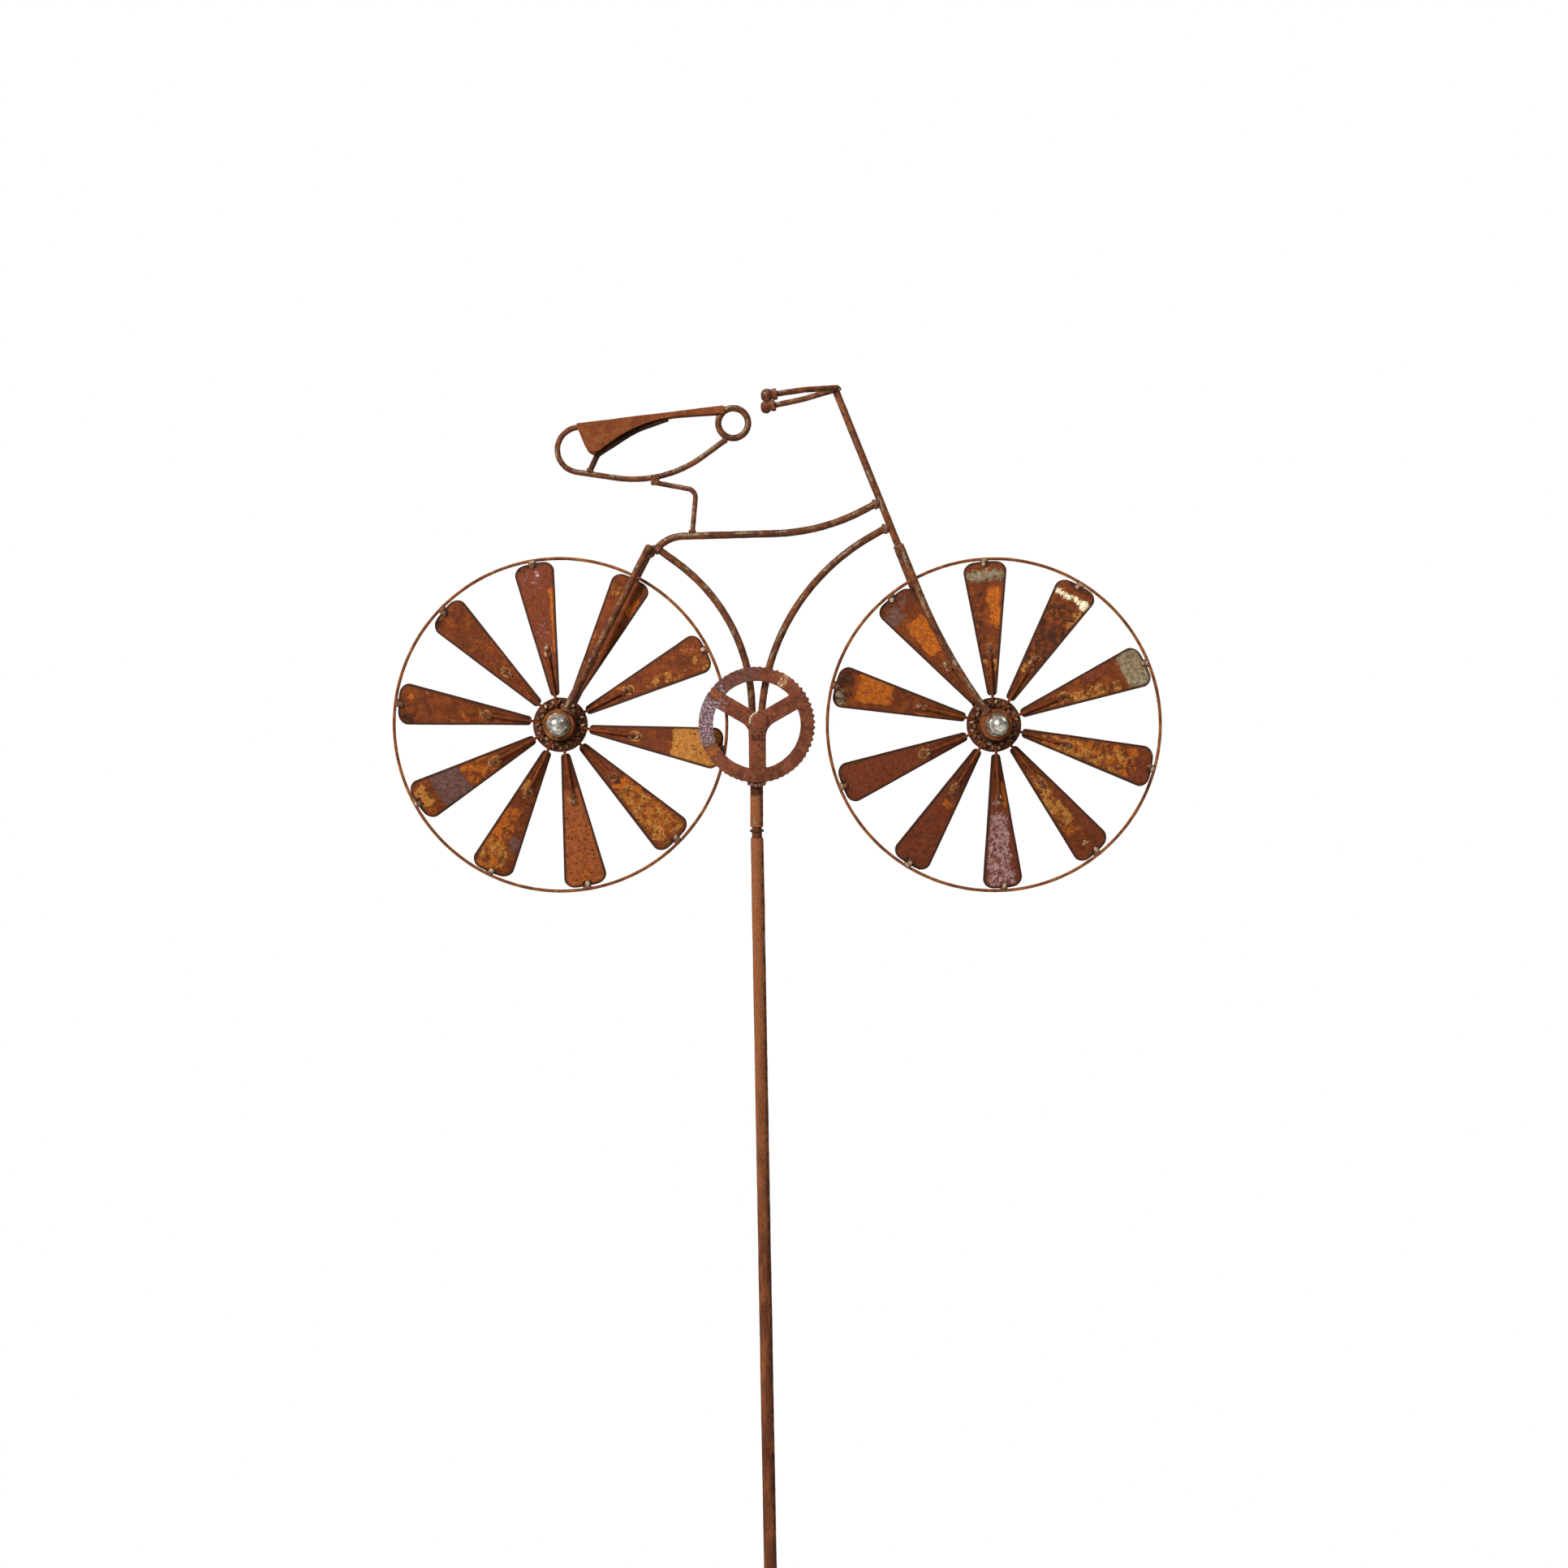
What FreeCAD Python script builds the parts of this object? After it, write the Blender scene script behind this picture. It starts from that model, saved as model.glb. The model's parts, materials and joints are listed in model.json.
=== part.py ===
import FreeCAD, Part
import math
import os

import Sketcher
from FreeCAD import Placement, Rotation, Vector

# A bicycle wind spinner on a garden stake, in millimetres.
# +Z is up along the stake, +X points to the front wheel, and -Y is the bicycle's right side, the one
# with the chainring. The origin is on the stake's axis at ground level.
# The bicycle turns on a spigot that stands in the top of the stake tube, and it leans a little on that
# spigot. Everything on the bicycle is placed from its bracket, the centre of the chainring, which is
# level with both hubs.

os.makedirs("parts", exist_ok=True)
doc = FreeCAD.newDocument("bicycle_wind_spinner")

DIMENSIONS = {
    # stake and swivel joint
    "stake_height": 716, "stake_depth": 280, "tube_radius": 4.8, "tube_bore_radius": 3.85,
    "point_length": 22, "shank_length": 25, "stop_length": 12,
    "spigot_radius": 3.8, "spigot_depth": 60, "spigot_rise": 18.5, "joint_lean": 1.05,
    "lean_rise": 13.5, "bracket_rise": 84.3,
    "ring_radius": 5.2, "ring_thickness": 1.5, "ring_rise": 4.7, "fit_gap": 0.05,
    "stub_radius": 4.8, "stub_bore_radius": 4.1, "stub_foot": 75.8, "stub_top": 44.2,
    # rods
    "frame_rod": 5.4, "saddle_rod": 4.2, "saddle_ring_rod": 4.8, "post_rod": 3.7, "rail_rod": 4.2,
    "bar_rod": 4.2, "bridge_rod": 4.4,
    # wheels
    "rear_hub_x": -146, "front_hub_x": 176.5, "wheel_radius": 125, "rim_rod": 2.5,
    "blade_count": 10, "blade_root": 22, "blade_tip": 121.5, "blade_root_width": 6.8,
    "blade_tip_width": 33.8, "blade_thickness": 1, "blade_pitch": 15, "blade_cup_radius": 200,
    "blade_corner": 8.5, "spoke_radius": 1.1, "spoke_inner": 13.4, "spoke_outer": 57, "spoke_offset": 1.9,
    "disc_radius": 20.3, "disc_thickness": 1.5, "barrel_radius": 11.5, "barrel_half": 8.3,
    "bush_radius": 6, "bush_half": 8.6, "axle_radius": 4,
    # axle ends, outwards from the bush: eye, washer, nut
    "eye_radius": 11.5, "eye_offset": 10.5, "eye_thickness": 3, "washer_radius": 8.8,
    "washer_thickness": 1.6, "face_gap": 0.05, "nut_corner_radius": 7.5, "nut_height": 6.5,
    "dome_radius": 6.2, "bolt_head_height": 5.3,
    # legs of the fork and of the rear stay
    "leg_offset": 11.5, "leg_top_offset": 8.6,
    # chainring
    "chainring_radius": 43.2, "chainring_inner": 32.3, "chainring_thickness": 2, "chainring_offset": 7.4,
    "tooth_count": 60, "tooth_depth": 1.2, "arm_width": 12, "arm_fillet": 12,
    "pin_radius": 3, "pin_head_radius": 6.3, "pin_head_height": 2,
    # saddle cover
    "cover_thickness": 0.9, "cover_length": 110, "cover_spread": 13.6, "cover_drop": 27,
    # grips
    "grip_length": 11.4, "grip_radius": 4.8, "grip_collar_radius": 4.2,
}

# Outlines and routes in the bicycle's own upright plane, as (x, z) from the bracket, with the bend
# radius as a third number where a rod bends.
HEAD_TUBE = [(59, 248.3), (107, 129.3)]
TOP_TUBE = [(91.4, 166.1), (50, 143.3, 150), (-64.5, 140, 26), (-77, 128.9)]
SEAT_TUBE = [(-73.6, 130.9), (-4.2, 80.5, 135), (-2.95, -44)]
DOWN_TUBE = [(98.7, 147.9), (4.6, 94, 162), (2.95, -44)]
FORK_CROWN = (107.5, 128)
FORK_LEG = [(106.1, 131.6), (140, 46.7, 400)]
STAY_BRIDGE = (-79.2, 128.2)
STAY_LEG = [(-79.4, 131.5)]
SEAT_POST = [(-78.2, 180.6), (-45, 174.4, 6.5), (-48, 141.5)]
SADDLE_RAIL = [(-66, 227.8), (-90, 219.3, 60), (-118.5, 201, 8), (-124.8, 187.2)]
SADDLE_RING_CENTRE, SADDLE_RING_RADIUS = (-17.5, 224.4), 11.1
SADDLE_LOOP_CENTRE, SADDLE_LOOP_RADIUS = (-131.5, 204.6), 16.8
SADDLE_BELLY, SADDLE_BELLY_BEND = (-69, 178.3), 88
SADDLE_END = (-22.7, 212.3)
SADDLE_LUG = ((-78.6, -72.4), (178.6, 185.6), 5.2)
SPIDER_CENTRE, PIN_CENTRE = (0.8, 1.5), (2.0, 2.2)
BAR_ROOT, BAR_SLOPE = (60.3, 250.3), 10.3
BAR_ROUTE = [(0, 1.95), (26, 14.5, 30), (54.5, 18.1)]
# Each blade was set by hand, a degree or so off its even place.
FIRST_BLADE = {"rear": 27.5, "front": 22}
BLADE_DRIFT = {"rear": [0, 0, 0.5, 0.5, 1, 1.5, 1, 0, 0, 0],
               "front": [0, 0.5, -0.5, -1, 0, 0, 0.5, -0.5, -1, -1.5]}

sheet = doc.addObject("Spreadsheet::Sheet", "dims")
for row, (alias, value) in enumerate(DIMENSIONS.items(), start=1):
    sheet.set("A%d" % row, alias)
    sheet.set("B%d" % row, str(value))
    sheet.setAlias("B%d" % row, alias)
doc.recompute()

X, Y, Z = Vector(1, 0, 0), Vector(0, 1, 0), Vector(0, 0, 1)
NODES = []


def size(expression):
    """The value of an expression in the sheet's words, such as "wheel_radius - rim_rod"."""
    return float(sheet.evalExpression(expression))


def bound(expression):
    """The same expression as another object has to write it."""
    words = sorted(DIMENSIONS, key=len, reverse=True)
    for number, word in enumerate(words):
        expression = expression.replace(word, "@%d@" % number)
    for number, word in enumerate(words):
        expression = expression.replace("@%d@" % number, "dims." + word)
    return expression


def at(x, y, z, rotation=None):
    return Placement(Vector(x, y, z), rotation or Rotation())


def keep(piece, label):
    """Gives a finished sub-part the name of its file."""
    piece.Label = label
    NODES.append(piece)
    return piece


# ---- places ----

lean = at(0, 0, size("stake_height + lean_rise"), Rotation(Y, size("joint_lean")))
bike = lean * at(0, 0, size("bracket_rise - lean_rise"))
hubs = {"rear": bike * at(size("rear_hub_x"), 0, 0), "front": bike * at(size("front_hub_x"), 0, 0)}


# ---- building blocks ----

def cylinder(name, radius, height, placement):
    """A round bar along its own Z; radius and height are expressions."""
    bar = doc.addObject("Part::Cylinder", name)
    bar.setExpression("Radius", bound(radius))
    bar.setExpression("Height", bound(height))
    bar.Placement = placement
    return bar


def rod(name, start, end, diameter, frame):
    """A straight round rod between two points of a frame."""
    start, end = Vector(*start), Vector(*end)
    bar = doc.addObject("Part::Cylinder", name)
    bar.setExpression("Radius", bound(diameter + " / 2"))
    bar.Height = (end - start).Length
    bar.Placement = frame * Placement(start, Rotation(Z, end - start))
    return bar


def cut(name, base, *tools):
    """The base less its mates, so that a welded end lies against them."""
    tool = tools[0]
    if len(tools) > 1:
        tool = doc.addObject("Part::MultiFuse", name + "_mates")
        tool.Shapes = list(tools)
    piece = doc.addObject("Part::Cut", name)
    piece.Base = base
    piece.Tool = tool
    return piece


def tube(name, outer, bore, height, placement):
    return cut(name, cylinder(name + "_outside", outer, height, placement),
               cylinder(name + "_bore", bore, height, placement))


def group(name, pieces):
    compound = doc.addObject("Part::Compound", name)
    compound.Links = pieces
    return compound


def new_body(name, placement):
    body = doc.addObject("PartDesign::Body", name)
    body.AllowCompound = True
    body.Placement = placement
    return body


def new_sketch(body, name, role, offset=None):
    """A sketch on one of the body's own origin planes, moved by an offset where one is given."""
    sketch = body.newObject("Sketcher::SketchObject", name)
    origin_plane = next(part for part in body.Origin.OriginFeatures if part.Role == role)
    sketch.AttachmentSupport = [(origin_plane, "")]
    sketch.MapMode = "FlatFace"
    if offset:
        sketch.AttachmentOffset = offset
    return sketch


def pin_point(sketch, edge, point, expression, axis):
    """Holds one coordinate of a sketch point at an expression's value."""
    value = size(expression)
    if abs(value) < 1e-9:
        sketch.addConstraint(Sketcher.Constraint("PointOnObject", edge, point, -2 if axis == "X" else -1))
        return
    constraint = sketch.addConstraint(Sketcher.Constraint("Distance" + axis, -1, 1, edge, point, value))
    sketch.setExpression("Constraints[%d]" % constraint, bound(expression))


def polygon(sketch, corners):
    """A closed outline of straight edges whose corners are pairs of expressions."""
    first = sketch.GeometryCount
    points = [Vector(size(x), size(y), 0) for x, y in corners]
    count = len(points)
    for index in range(count):
        sketch.addGeometry(Part.LineSegment(points[index], points[(index + 1) % count]))
    for index, (x, y) in enumerate(corners):
        following = first + (index + 1) % count
        sketch.addConstraint(Sketcher.Constraint("Coincident", first + index, 2, following, 1))
        pin_point(sketch, first + index, 1, x, "X")
        pin_point(sketch, first + index, 1, y, "Y")


def circle(sketch, radius, centre=(0, 0)):
    """A circle whose radius is an expression."""
    edge = sketch.addGeometry(Part.Circle(Vector(centre[0], centre[1], 0), Z, size(radius)))
    constraint = sketch.addConstraint(Sketcher.Constraint("Radius", edge, size(radius)))
    sketch.setExpression("Constraints[%d]" % constraint, bound(radius))


def add_arc(sketch, start, middle, end):
    arc = Part.Arc(start, middle, end).toShape()
    sketch.addGeometry(Part.ArcOfCircle(arc.Curve, *arc.ParameterRange))


def outline(sketch, route, closed=True):
    """Straight edges joined by tangent arcs; a point's third number is its bend radius."""
    points = [Vector(point[0], point[1], 0) for point in route]
    count = len(points)
    runs = []
    for index, point in enumerate(route):
        here, radius = points[index], point[2] if len(point) > 2 else 0
        if not radius:
            runs.append((here, here, None))
            continue
        back = (points[index - 1] - here).normalize()
        ahead = (points[(index + 1) % count] - here).normalize()
        half_corner = back.getAngle(ahead) / 2
        reach = radius / math.tan(half_corner)
        centre = here + (back + ahead).normalize() * (radius / math.sin(half_corner))
        middle = centre + (here - centre).normalize() * radius
        runs.append((here + back * reach, here + ahead * reach, middle))
    for index in range(count if closed else count - 1):
        following = runs[(index + 1) % count]
        sketch.addGeometry(Part.LineSegment(runs[index][1], following[0]))
        if following[2]:
            add_arc(sketch, following[0], following[2], following[1])


def sweep(body, name, path, start, heading, diameter):
    """Sweeps a round section of the body along its path sketch."""
    section = new_sketch(body, name + "_section", "XY_Plane", Placement(start, Rotation(Z, heading)))
    circle(section, diameter + " / 2")
    pipe = body.newObject("PartDesign::AdditivePipe", name + "_sweep")
    pipe.Profile = section
    pipe.Spine = (path, ["Edge%d" % (edge + 1) for edge in range(path.GeometryCount)])
    return body


def bent_rod(name, route, diameter, placement, role="XZ_Plane"):
    """A round rod bent in one plane."""
    body = new_body(name, placement)
    path = new_sketch(body, name + "_path", role)
    outline(path, route, closed=False)
    start, ahead = route[0], route[1]
    run = (ahead[0] - start[0], ahead[1] - start[1])
    if role == "XZ_Plane":
        return sweep(body, name, path, Vector(start[0], 0, start[1]), Vector(run[0], 0, run[1]), diameter)
    return sweep(body, name, path, Vector(start[0], start[1], 0), Vector(run[0], run[1], 0), diameter)


def turned(name, outlines, placement):
    """A piece turned about its own Y; each outline is a list of (radius, place along Y) expressions."""
    body = new_body(name, placement)
    sketch = new_sketch(body, name + "_outline", "XY_Plane")
    for corners in outlines:
        polygon(sketch, corners)
    turn = body.newObject("PartDesign::Revolution", name + "_turn")
    turn.Profile = sketch
    turn.ReferenceAxis = (sketch, ["V_Axis"])
    turn.Angle = 360
    return body


def ring_outline(inner, outer, low, high):
    return [(inner, low), (outer, low), (outer, high), (inner, high)]


def pad(body, sketch, name, length):
    """A pad with half its length on each side of the sketch."""
    feature = body.newObject("PartDesign::Pad", name)
    feature.Profile = sketch
    feature.Midplane = True
    feature.setExpression("Length", bound(length))
    return feature


def cut_out(body, sketch, name):
    """A pocket right through the body on both sides of the sketch."""
    feature = body.newObject("PartDesign::Pocket", name)
    feature.Profile = sketch
    feature.Type = 1
    feature.Midplane = True
    return feature


# ---- stake ----

upright = Rotation(X, 90)
keep(tube("stake_tube", "tube_radius", "tube_bore_radius", "stake_height + stake_depth - point_length",
          at(0, 0, size("point_length - stake_depth"))), "stake_tube")
keep(turned("stake_point", [[
    ("0", "-stake_depth"),
    ("tube_radius * 0.25", "2 - stake_depth"),
    ("tube_radius", "point_length - stake_depth"),
    ("tube_bore_radius - fit_gap", "point_length - stake_depth"),
    ("tube_bore_radius - fit_gap", "point_length + shank_length - stake_depth"),
    ("0", "point_length + shank_length - stake_depth")]], at(0, 0, 0, upright)), "stake_point")
keep(cylinder("stake_stop", "tube_bore_radius - fit_gap", "stop_length",
              at(0, 0, size("stake_height - spigot_depth - stop_length - 0.2"))), "stake_stop")


# ---- spigot and stub ----

keep(cylinder("spigot", "spigot_radius", "spigot_depth + spigot_rise",
              at(0, 0, size("stake_height - spigot_depth"))), "spigot")
keep(tube("spigot_ring", "ring_radius", "spigot_radius + fit_gap", "ring_thickness",
          at(0, 0, size("stake_height + ring_rise"))), "spigot_ring")
keep(tube("stub_tube", "stub_radius", "stub_bore_radius", "stub_foot - stub_top",
          bike * at(0, 0, -size("stub_foot"))), "stub_tube")


# ---- frame rods ----

def in_plane(point):
    return (point[0], 0, point[1])


def in_space(point):
    return Vector(*in_plane(point))


head_ends = [in_plane(point) for point in HEAD_TUBE]
head_tube = keep(rod("head_tube", *head_ends, "frame_rod", bike), "head_tube")
top_rod = bent_rod("top_tube_rod", TOP_TUBE, "frame_rod", bike)
top_tube = keep(cut("top_tube", top_rod, head_tube), "top_tube")
keep(cut("seat_tube", bent_rod("seat_tube_rod", SEAT_TUBE, "frame_rod", bike), top_tube), "seat_tube")
keep(cut("down_tube", bent_rod("down_tube_rod", DOWN_TUBE, "frame_rod", bike), head_tube), "down_tube")


def leg(name, hub_x, route, side):
    """A leg from its top down to an axle eye, spreading sideways as it comes down."""
    top = Vector(route[0][0] - hub_x, side * size("leg_top_offset - leg_offset"), route[0][1])
    chord = Vector(top.x, 0, top.z)
    across = Vector(top.z, 0, -top.x).normalize()
    stretch = top.Length / chord.Length ** 2

    def local(point):
        place = Vector(point[0] - hub_x, 0, point[1])
        return (place.dot(across), place.dot(chord) * stretch) + tuple(point[2:])

    points = [local(point) for point in route]
    last = Vector(points[-1][0], points[-1][1], 0)
    end = last * ((size("eye_radius") + 0.2) / last.Length)
    frame = Rotation(across, top.cross(across), top, "ZXY")
    return bent_rod(name, points + [(end.x, end.y)], "frame_rod",
                    bike * at(hub_x, side * size("leg_offset"), 0, frame))


def cross_rod(name, place, diameter):
    """A short rod across the bicycle between the tops of two legs."""
    half = size("leg_top_offset - frame_rod / 2") - 0.05
    return rod(name, (place[0], -half, place[1]), (place[0], half, place[1]), diameter, bike)


SIDES = {"right": -1, "left": 1}
crown = cross_rod("fork_crown_rod", FORK_CROWN, "frame_rod")
keep(cut("fork_crown", crown, head_tube), "fork_crown")
keep(cut("stay_bridge", cross_rod("stay_bridge_rod", STAY_BRIDGE, "bridge_rod"), top_tube), "stay_bridge")
for side_name, side in SIDES.items():
    keep(leg("fork_leg_" + side_name, size("front_hub_x"), FORK_LEG, side), "fork_leg_" + side_name)
    keep(leg("stay_" + side_name, size("rear_hub_x"), STAY_LEG, side), "stay_" + side_name)


# ---- axle ends ----

washers, eyes, bolts, nuts = [], [], [], []
eye_back = "(eye_offset - eye_thickness / 2)"
eye_face = "(eye_offset + eye_thickness / 2)"
washer_back = "(eye_offset + eye_thickness / 2 + face_gap)"
washer_face = "(eye_offset + eye_thickness / 2 + face_gap + washer_thickness)"
nut_face = "(eye_offset + eye_thickness / 2 + 2 * face_gap + washer_thickness)"
for wheel, hub in hubs.items():
    for side_name, side in SIDES.items():
        sign = "-" if side < 0 else ""
        name = "_%s_%s" % (wheel, side_name)
        washers.append(turned("washer" + name, [ring_outline(
            "axle_radius + face_gap", "washer_radius", sign + washer_back, sign + washer_face)], hub))
        eyes.append(turned("eye" + name, [ring_outline(
            "axle_radius + face_gap", "eye_radius", sign + eye_back, sign + eye_face)], hub))
    head = doc.addObject("Part::Prism", "bolt_head_" + wheel)
    head.setExpression("Circumradius", bound("nut_corner_radius"))
    head.setExpression("Height", bound("bolt_head_height"))
    head.Placement = hub * at(0, size(nut_face), 0, Rotation(Z, Y))
    shank = cylinder("bolt_shank_" + wheel, "axle_radius", "2 * %s + nut_height" % nut_face,
                     hub * at(0, size(nut_face), 0, Rotation(Z, -Y)))
    bolt = doc.addObject("Part::MultiFuse", "bolt_" + wheel)
    bolt.Shapes = [head, shank]
    bolts.append(bolt)
    nut_place = hub * at(0, -size(nut_face), 0, Rotation(Z, -Y))
    hexagon = doc.addObject("Part::Prism", "nut_hexagon_" + wheel)
    hexagon.setExpression("Circumradius", bound("nut_corner_radius"))
    hexagon.setExpression("Height", bound("nut_height"))
    hexagon.Placement = nut_place
    dome = doc.addObject("Part::Sphere", "nut_dome_" + wheel)
    dome.setExpression("Radius", bound("dome_radius"))
    dome.Angle1 = 0
    dome.Placement = nut_place * at(0, 0, size("nut_height"))
    solid_nut = doc.addObject("Part::MultiFuse", "nut_solid_" + wheel)
    solid_nut.Shapes = [hexagon, dome]
    nuts.append(cut("nut_" + wheel, solid_nut, cylinder(
        "nut_bore_" + wheel, "axle_radius + fit_gap", "nut_height + 1", nut_place)))
keep(group("washers", washers), "washers")
keep(group("axle_eyes", eyes), "axle_eyes")
keep(group("axle_bolts", bolts), "axle_bolts")
keep(group("dome_nuts", nuts), "dome_nuts")


# ---- wheels ----

def blade(name, hub, angle):
    """A pitched blade cut from a strip of curved sheet: it widens towards the rim, with round corners."""
    turn = Rotation(Y, -angle) * Rotation(X, -size("blade_pitch"))
    body = new_body(name, hub * at(0, 0, 0, turn))
    strip = new_sketch(body, name + "_strip", "YZ_Plane", at(0, 0, size("(blade_root + blade_tip) / 2")))
    centre = Vector(size("blade_cup_radius"), 0, 0)
    half_angle = math.asin(size("blade_tip_width / 2 + 1") / size("blade_cup_radius"))
    faces = []
    for side in (0.5, -0.5):
        radius = size("blade_cup_radius") + side * size("blade_thickness")
        points = [centre + Vector(-math.cos(bend), math.sin(bend), 0) * radius
                  for bend in (-half_angle, 0, half_angle)]
        add_arc(strip, *points)
        faces.append(points)
    for end in (0, 2):
        strip.addGeometry(Part.LineSegment(faces[0][end], faces[1][end]))
    pad(body, strip, name + "_pad", "blade_tip - blade_root + 2")
    root, tip = size("blade_root"), size("blade_tip")
    half_root, half_tip = size("blade_root_width / 2"), size("blade_tip_width / 2")
    corner = size("blade_corner")
    trim = new_sketch(body, name + "_trim", "XZ_Plane")
    outline(trim, [(root - 4, -30), (tip + 4, -30), (tip + 4, 30), (root - 4, 30)])
    outline(trim, [(root, 2 - half_root), (root + 1.5, -half_root), (tip - 1.6, -half_tip, corner),
                   (tip + 0.6, 0, 55), (tip - 1.6, half_tip, corner), (root + 1.5, half_root),
                   (root, half_root - 2)])
    cut_out(body, trim, name + "_pocket")
    return body


for wheel, hub in hubs.items():
    rim = doc.addObject("Part::Torus", wheel + "_rim")
    rim.setExpression("Radius1", bound("wheel_radius - rim_rod / 2"))
    rim.setExpression("Radius2", bound("rim_rod / 2"))
    rim.Placement = hub * at(0, 0, 0, Rotation(X, 90))
    keep(rim, wheel + "_rim")
    spokes = []
    for index in range(int(size("blade_count"))):
        angle = FIRST_BLADE[wheel] + index * 360 / size("blade_count") + BLADE_DRIFT[wheel][index]
        name = "%s_blade_%02d" % (wheel, index + 1)
        keep(blade(name, hub, angle), name)
        outwards = Vector(math.cos(math.radians(angle)), 0, math.sin(math.radians(angle)))
        start = outwards * size("spoke_inner") - Y * size("spoke_offset")
        spokes.append(cylinder("%s_spoke_%02d" % (wheel, index + 1), "spoke_radius",
                               "spoke_outer - spoke_inner", hub * Placement(start, Rotation(Z, outwards))))
    keep(group(wheel + "_spokes", spokes), wheel + "_spokes")
    keep(turned(wheel + "_hub", [[
        ("bush_radius + fit_gap", "-barrel_half"), ("barrel_radius", "-barrel_half"),
        ("barrel_radius", "-disc_thickness / 2"), ("disc_radius", "-disc_thickness / 2"),
        ("disc_radius", "disc_thickness / 2"), ("barrel_radius", "disc_thickness / 2"),
        ("barrel_radius", "barrel_half"), ("bush_radius + fit_gap", "barrel_half")]], hub), wheel + "_hub")
    keep(turned(wheel + "_bush", [ring_outline(
        "axle_radius + fit_gap", "bush_radius", "-bush_half", "bush_half")], hub), wheel + "_bush")


# ---- chainring ----

ring_place = bike * at(0, -size("chainring_offset + chainring_thickness / 2"), 0)
ring_body = new_body("chainring_plate", ring_place)
ring_sketch = new_sketch(ring_body, "chainring_band", "XZ_Plane")
circle(ring_sketch, "chainring_radius")
circle(ring_sketch, "chainring_inner")
pad(ring_body, ring_sketch, "chainring_band_pad", "chainring_thickness")
spider_sketch = new_sketch(ring_body, "chainring_spider", "XZ_Plane")
spider = []
half_arm = size("arm_width") / 2
for arm in (30, 150, 270):
    along = Vector(math.cos(math.radians(arm)), math.sin(math.radians(arm)), 0)
    across = Vector(-along.y, along.x, 0)
    centre = Vector(*SPIDER_CENTRE, 0)
    for corner in (along * 35 - across * half_arm, along * 35 + across * half_arm):
        spider.append((centre + corner)[:2])
    crotch = centre + (along + across * math.sqrt(3)) * (half_arm / math.sin(math.pi / 3) / 2)
    spider.append(tuple(crotch[:2]) + ((size("arm_fillet"),) if arm != 30 else ()))
outline(spider_sketch, spider)
pad(ring_body, spider_sketch, "chainring_spider_pad", "chainring_thickness")
notch_sketch = new_sketch(ring_body, "chainring_notch", "XZ_Plane")
beyond = size("chainring_radius") + 0.5
notch_top = beyond * math.sin(math.pi / size("tooth_count"))
outline(notch_sketch, [(-notch_top, beyond), (-0.6, size("chainring_radius - tooth_depth")),
                       (0.6, size("chainring_radius - tooth_depth")), (notch_top, beyond)])
notch = cut_out(ring_body, notch_sketch, "chainring_notch_pocket")
teeth = ring_body.newObject("PartDesign::PolarPattern", "chainring_teeth")
teeth.Originals = [notch]
teeth.Axis = (notch_sketch, ["N_Axis"])
teeth.Angle = 360
teeth.Occurrences = int(size("tooth_count"))
ring_body.Tip = teeth
pin_place = bike * at(PIN_CENTRE[0], 0, PIN_CENTRE[1])
pin = turned("chainring_pin", [[
    ("0", "-(frame_rod / 2 + fit_gap)"), ("pin_radius", "-(frame_rod / 2 + fit_gap)"),
    ("pin_radius", "-(chainring_offset + chainring_thickness + fit_gap)"),
    ("pin_head_radius", "-(chainring_offset + chainring_thickness + fit_gap)"),
    ("pin_head_radius", "-(chainring_offset + chainring_thickness + pin_head_height * 0.4)"),
    ("pin_head_radius * 0.75", "-(chainring_offset + chainring_thickness + pin_head_height * 0.85)"),
    ("0", "-(chainring_offset + chainring_thickness + pin_head_height)")]], pin_place)
keep(cut("chainring_bored", ring_body, cylinder(
    "pin_hole", "pin_radius + fit_gap", "20", pin_place * at(0, 0, 0, Rotation(Z, -Y)))), "chainring")
keep(pin, "chainring_pin")


# ---- saddle ----

loop_body = new_body("saddle_rod", bike)
loop_path = new_sketch(loop_body, "saddle_rod_path", "XZ_Plane")
nose, back = Vector(*SADDLE_RING_CENTRE, 0), Vector(*SADDLE_LOOP_CENTRE, 0)
between = nose - back
# The top of the rod is the line that touches both circles from above.
ridge_angle = math.atan2(between.y, between.x) + math.asin(
    (SADDLE_RING_RADIUS - SADDLE_LOOP_RADIUS) / between.Length)
ridge_along = Vector(math.cos(ridge_angle), math.sin(ridge_angle), 0)
ridge_normal = Vector(-ridge_along.y, ridge_along.x, 0)
ridge_front = nose + ridge_normal * SADDLE_RING_RADIUS
ridge_back = back + ridge_normal * SADDLE_LOOP_RADIUS
loop_path.addGeometry(Part.LineSegment(ridge_front, ridge_back))


def around(centre, radius, angle):
    return centre + Vector(math.cos(angle), math.sin(angle), 0) * radius


top_angle = math.atan2(ridge_normal.y, ridge_normal.x)
belly = Vector(*SADDLE_BELLY, 0)
to_belly = belly - back
touch_angle = math.acos(SADDLE_LOOP_RADIUS / to_belly.Length)
belly_angle = math.atan2(to_belly.y, to_belly.x) - touch_angle + 2 * math.pi
loop_points = [around(back, SADDLE_LOOP_RADIUS, angle)
               for angle in (top_angle, (top_angle + belly_angle) / 2, belly_angle)]
add_arc(loop_path, *loop_points)
belly_route = [tuple(loop_points[2][:2]), SADDLE_BELLY + (SADDLE_BELLY_BEND,), SADDLE_END]
outline(loop_path, belly_route, closed=False)
sweep(loop_body, "saddle_rod", loop_path, in_space(ridge_front), -in_space(ridge_along), "saddle_rod")
ring = doc.addObject("Part::Torus", "saddle_ring")
ring.Radius1 = SADDLE_RING_RADIUS
ring.setExpression("Radius2", bound("saddle_ring_rod / 2"))
ring.Placement = bike * at(nose.x, 0, nose.y, Rotation(X, 90))
keep(ring, "saddle_ring")
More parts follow.
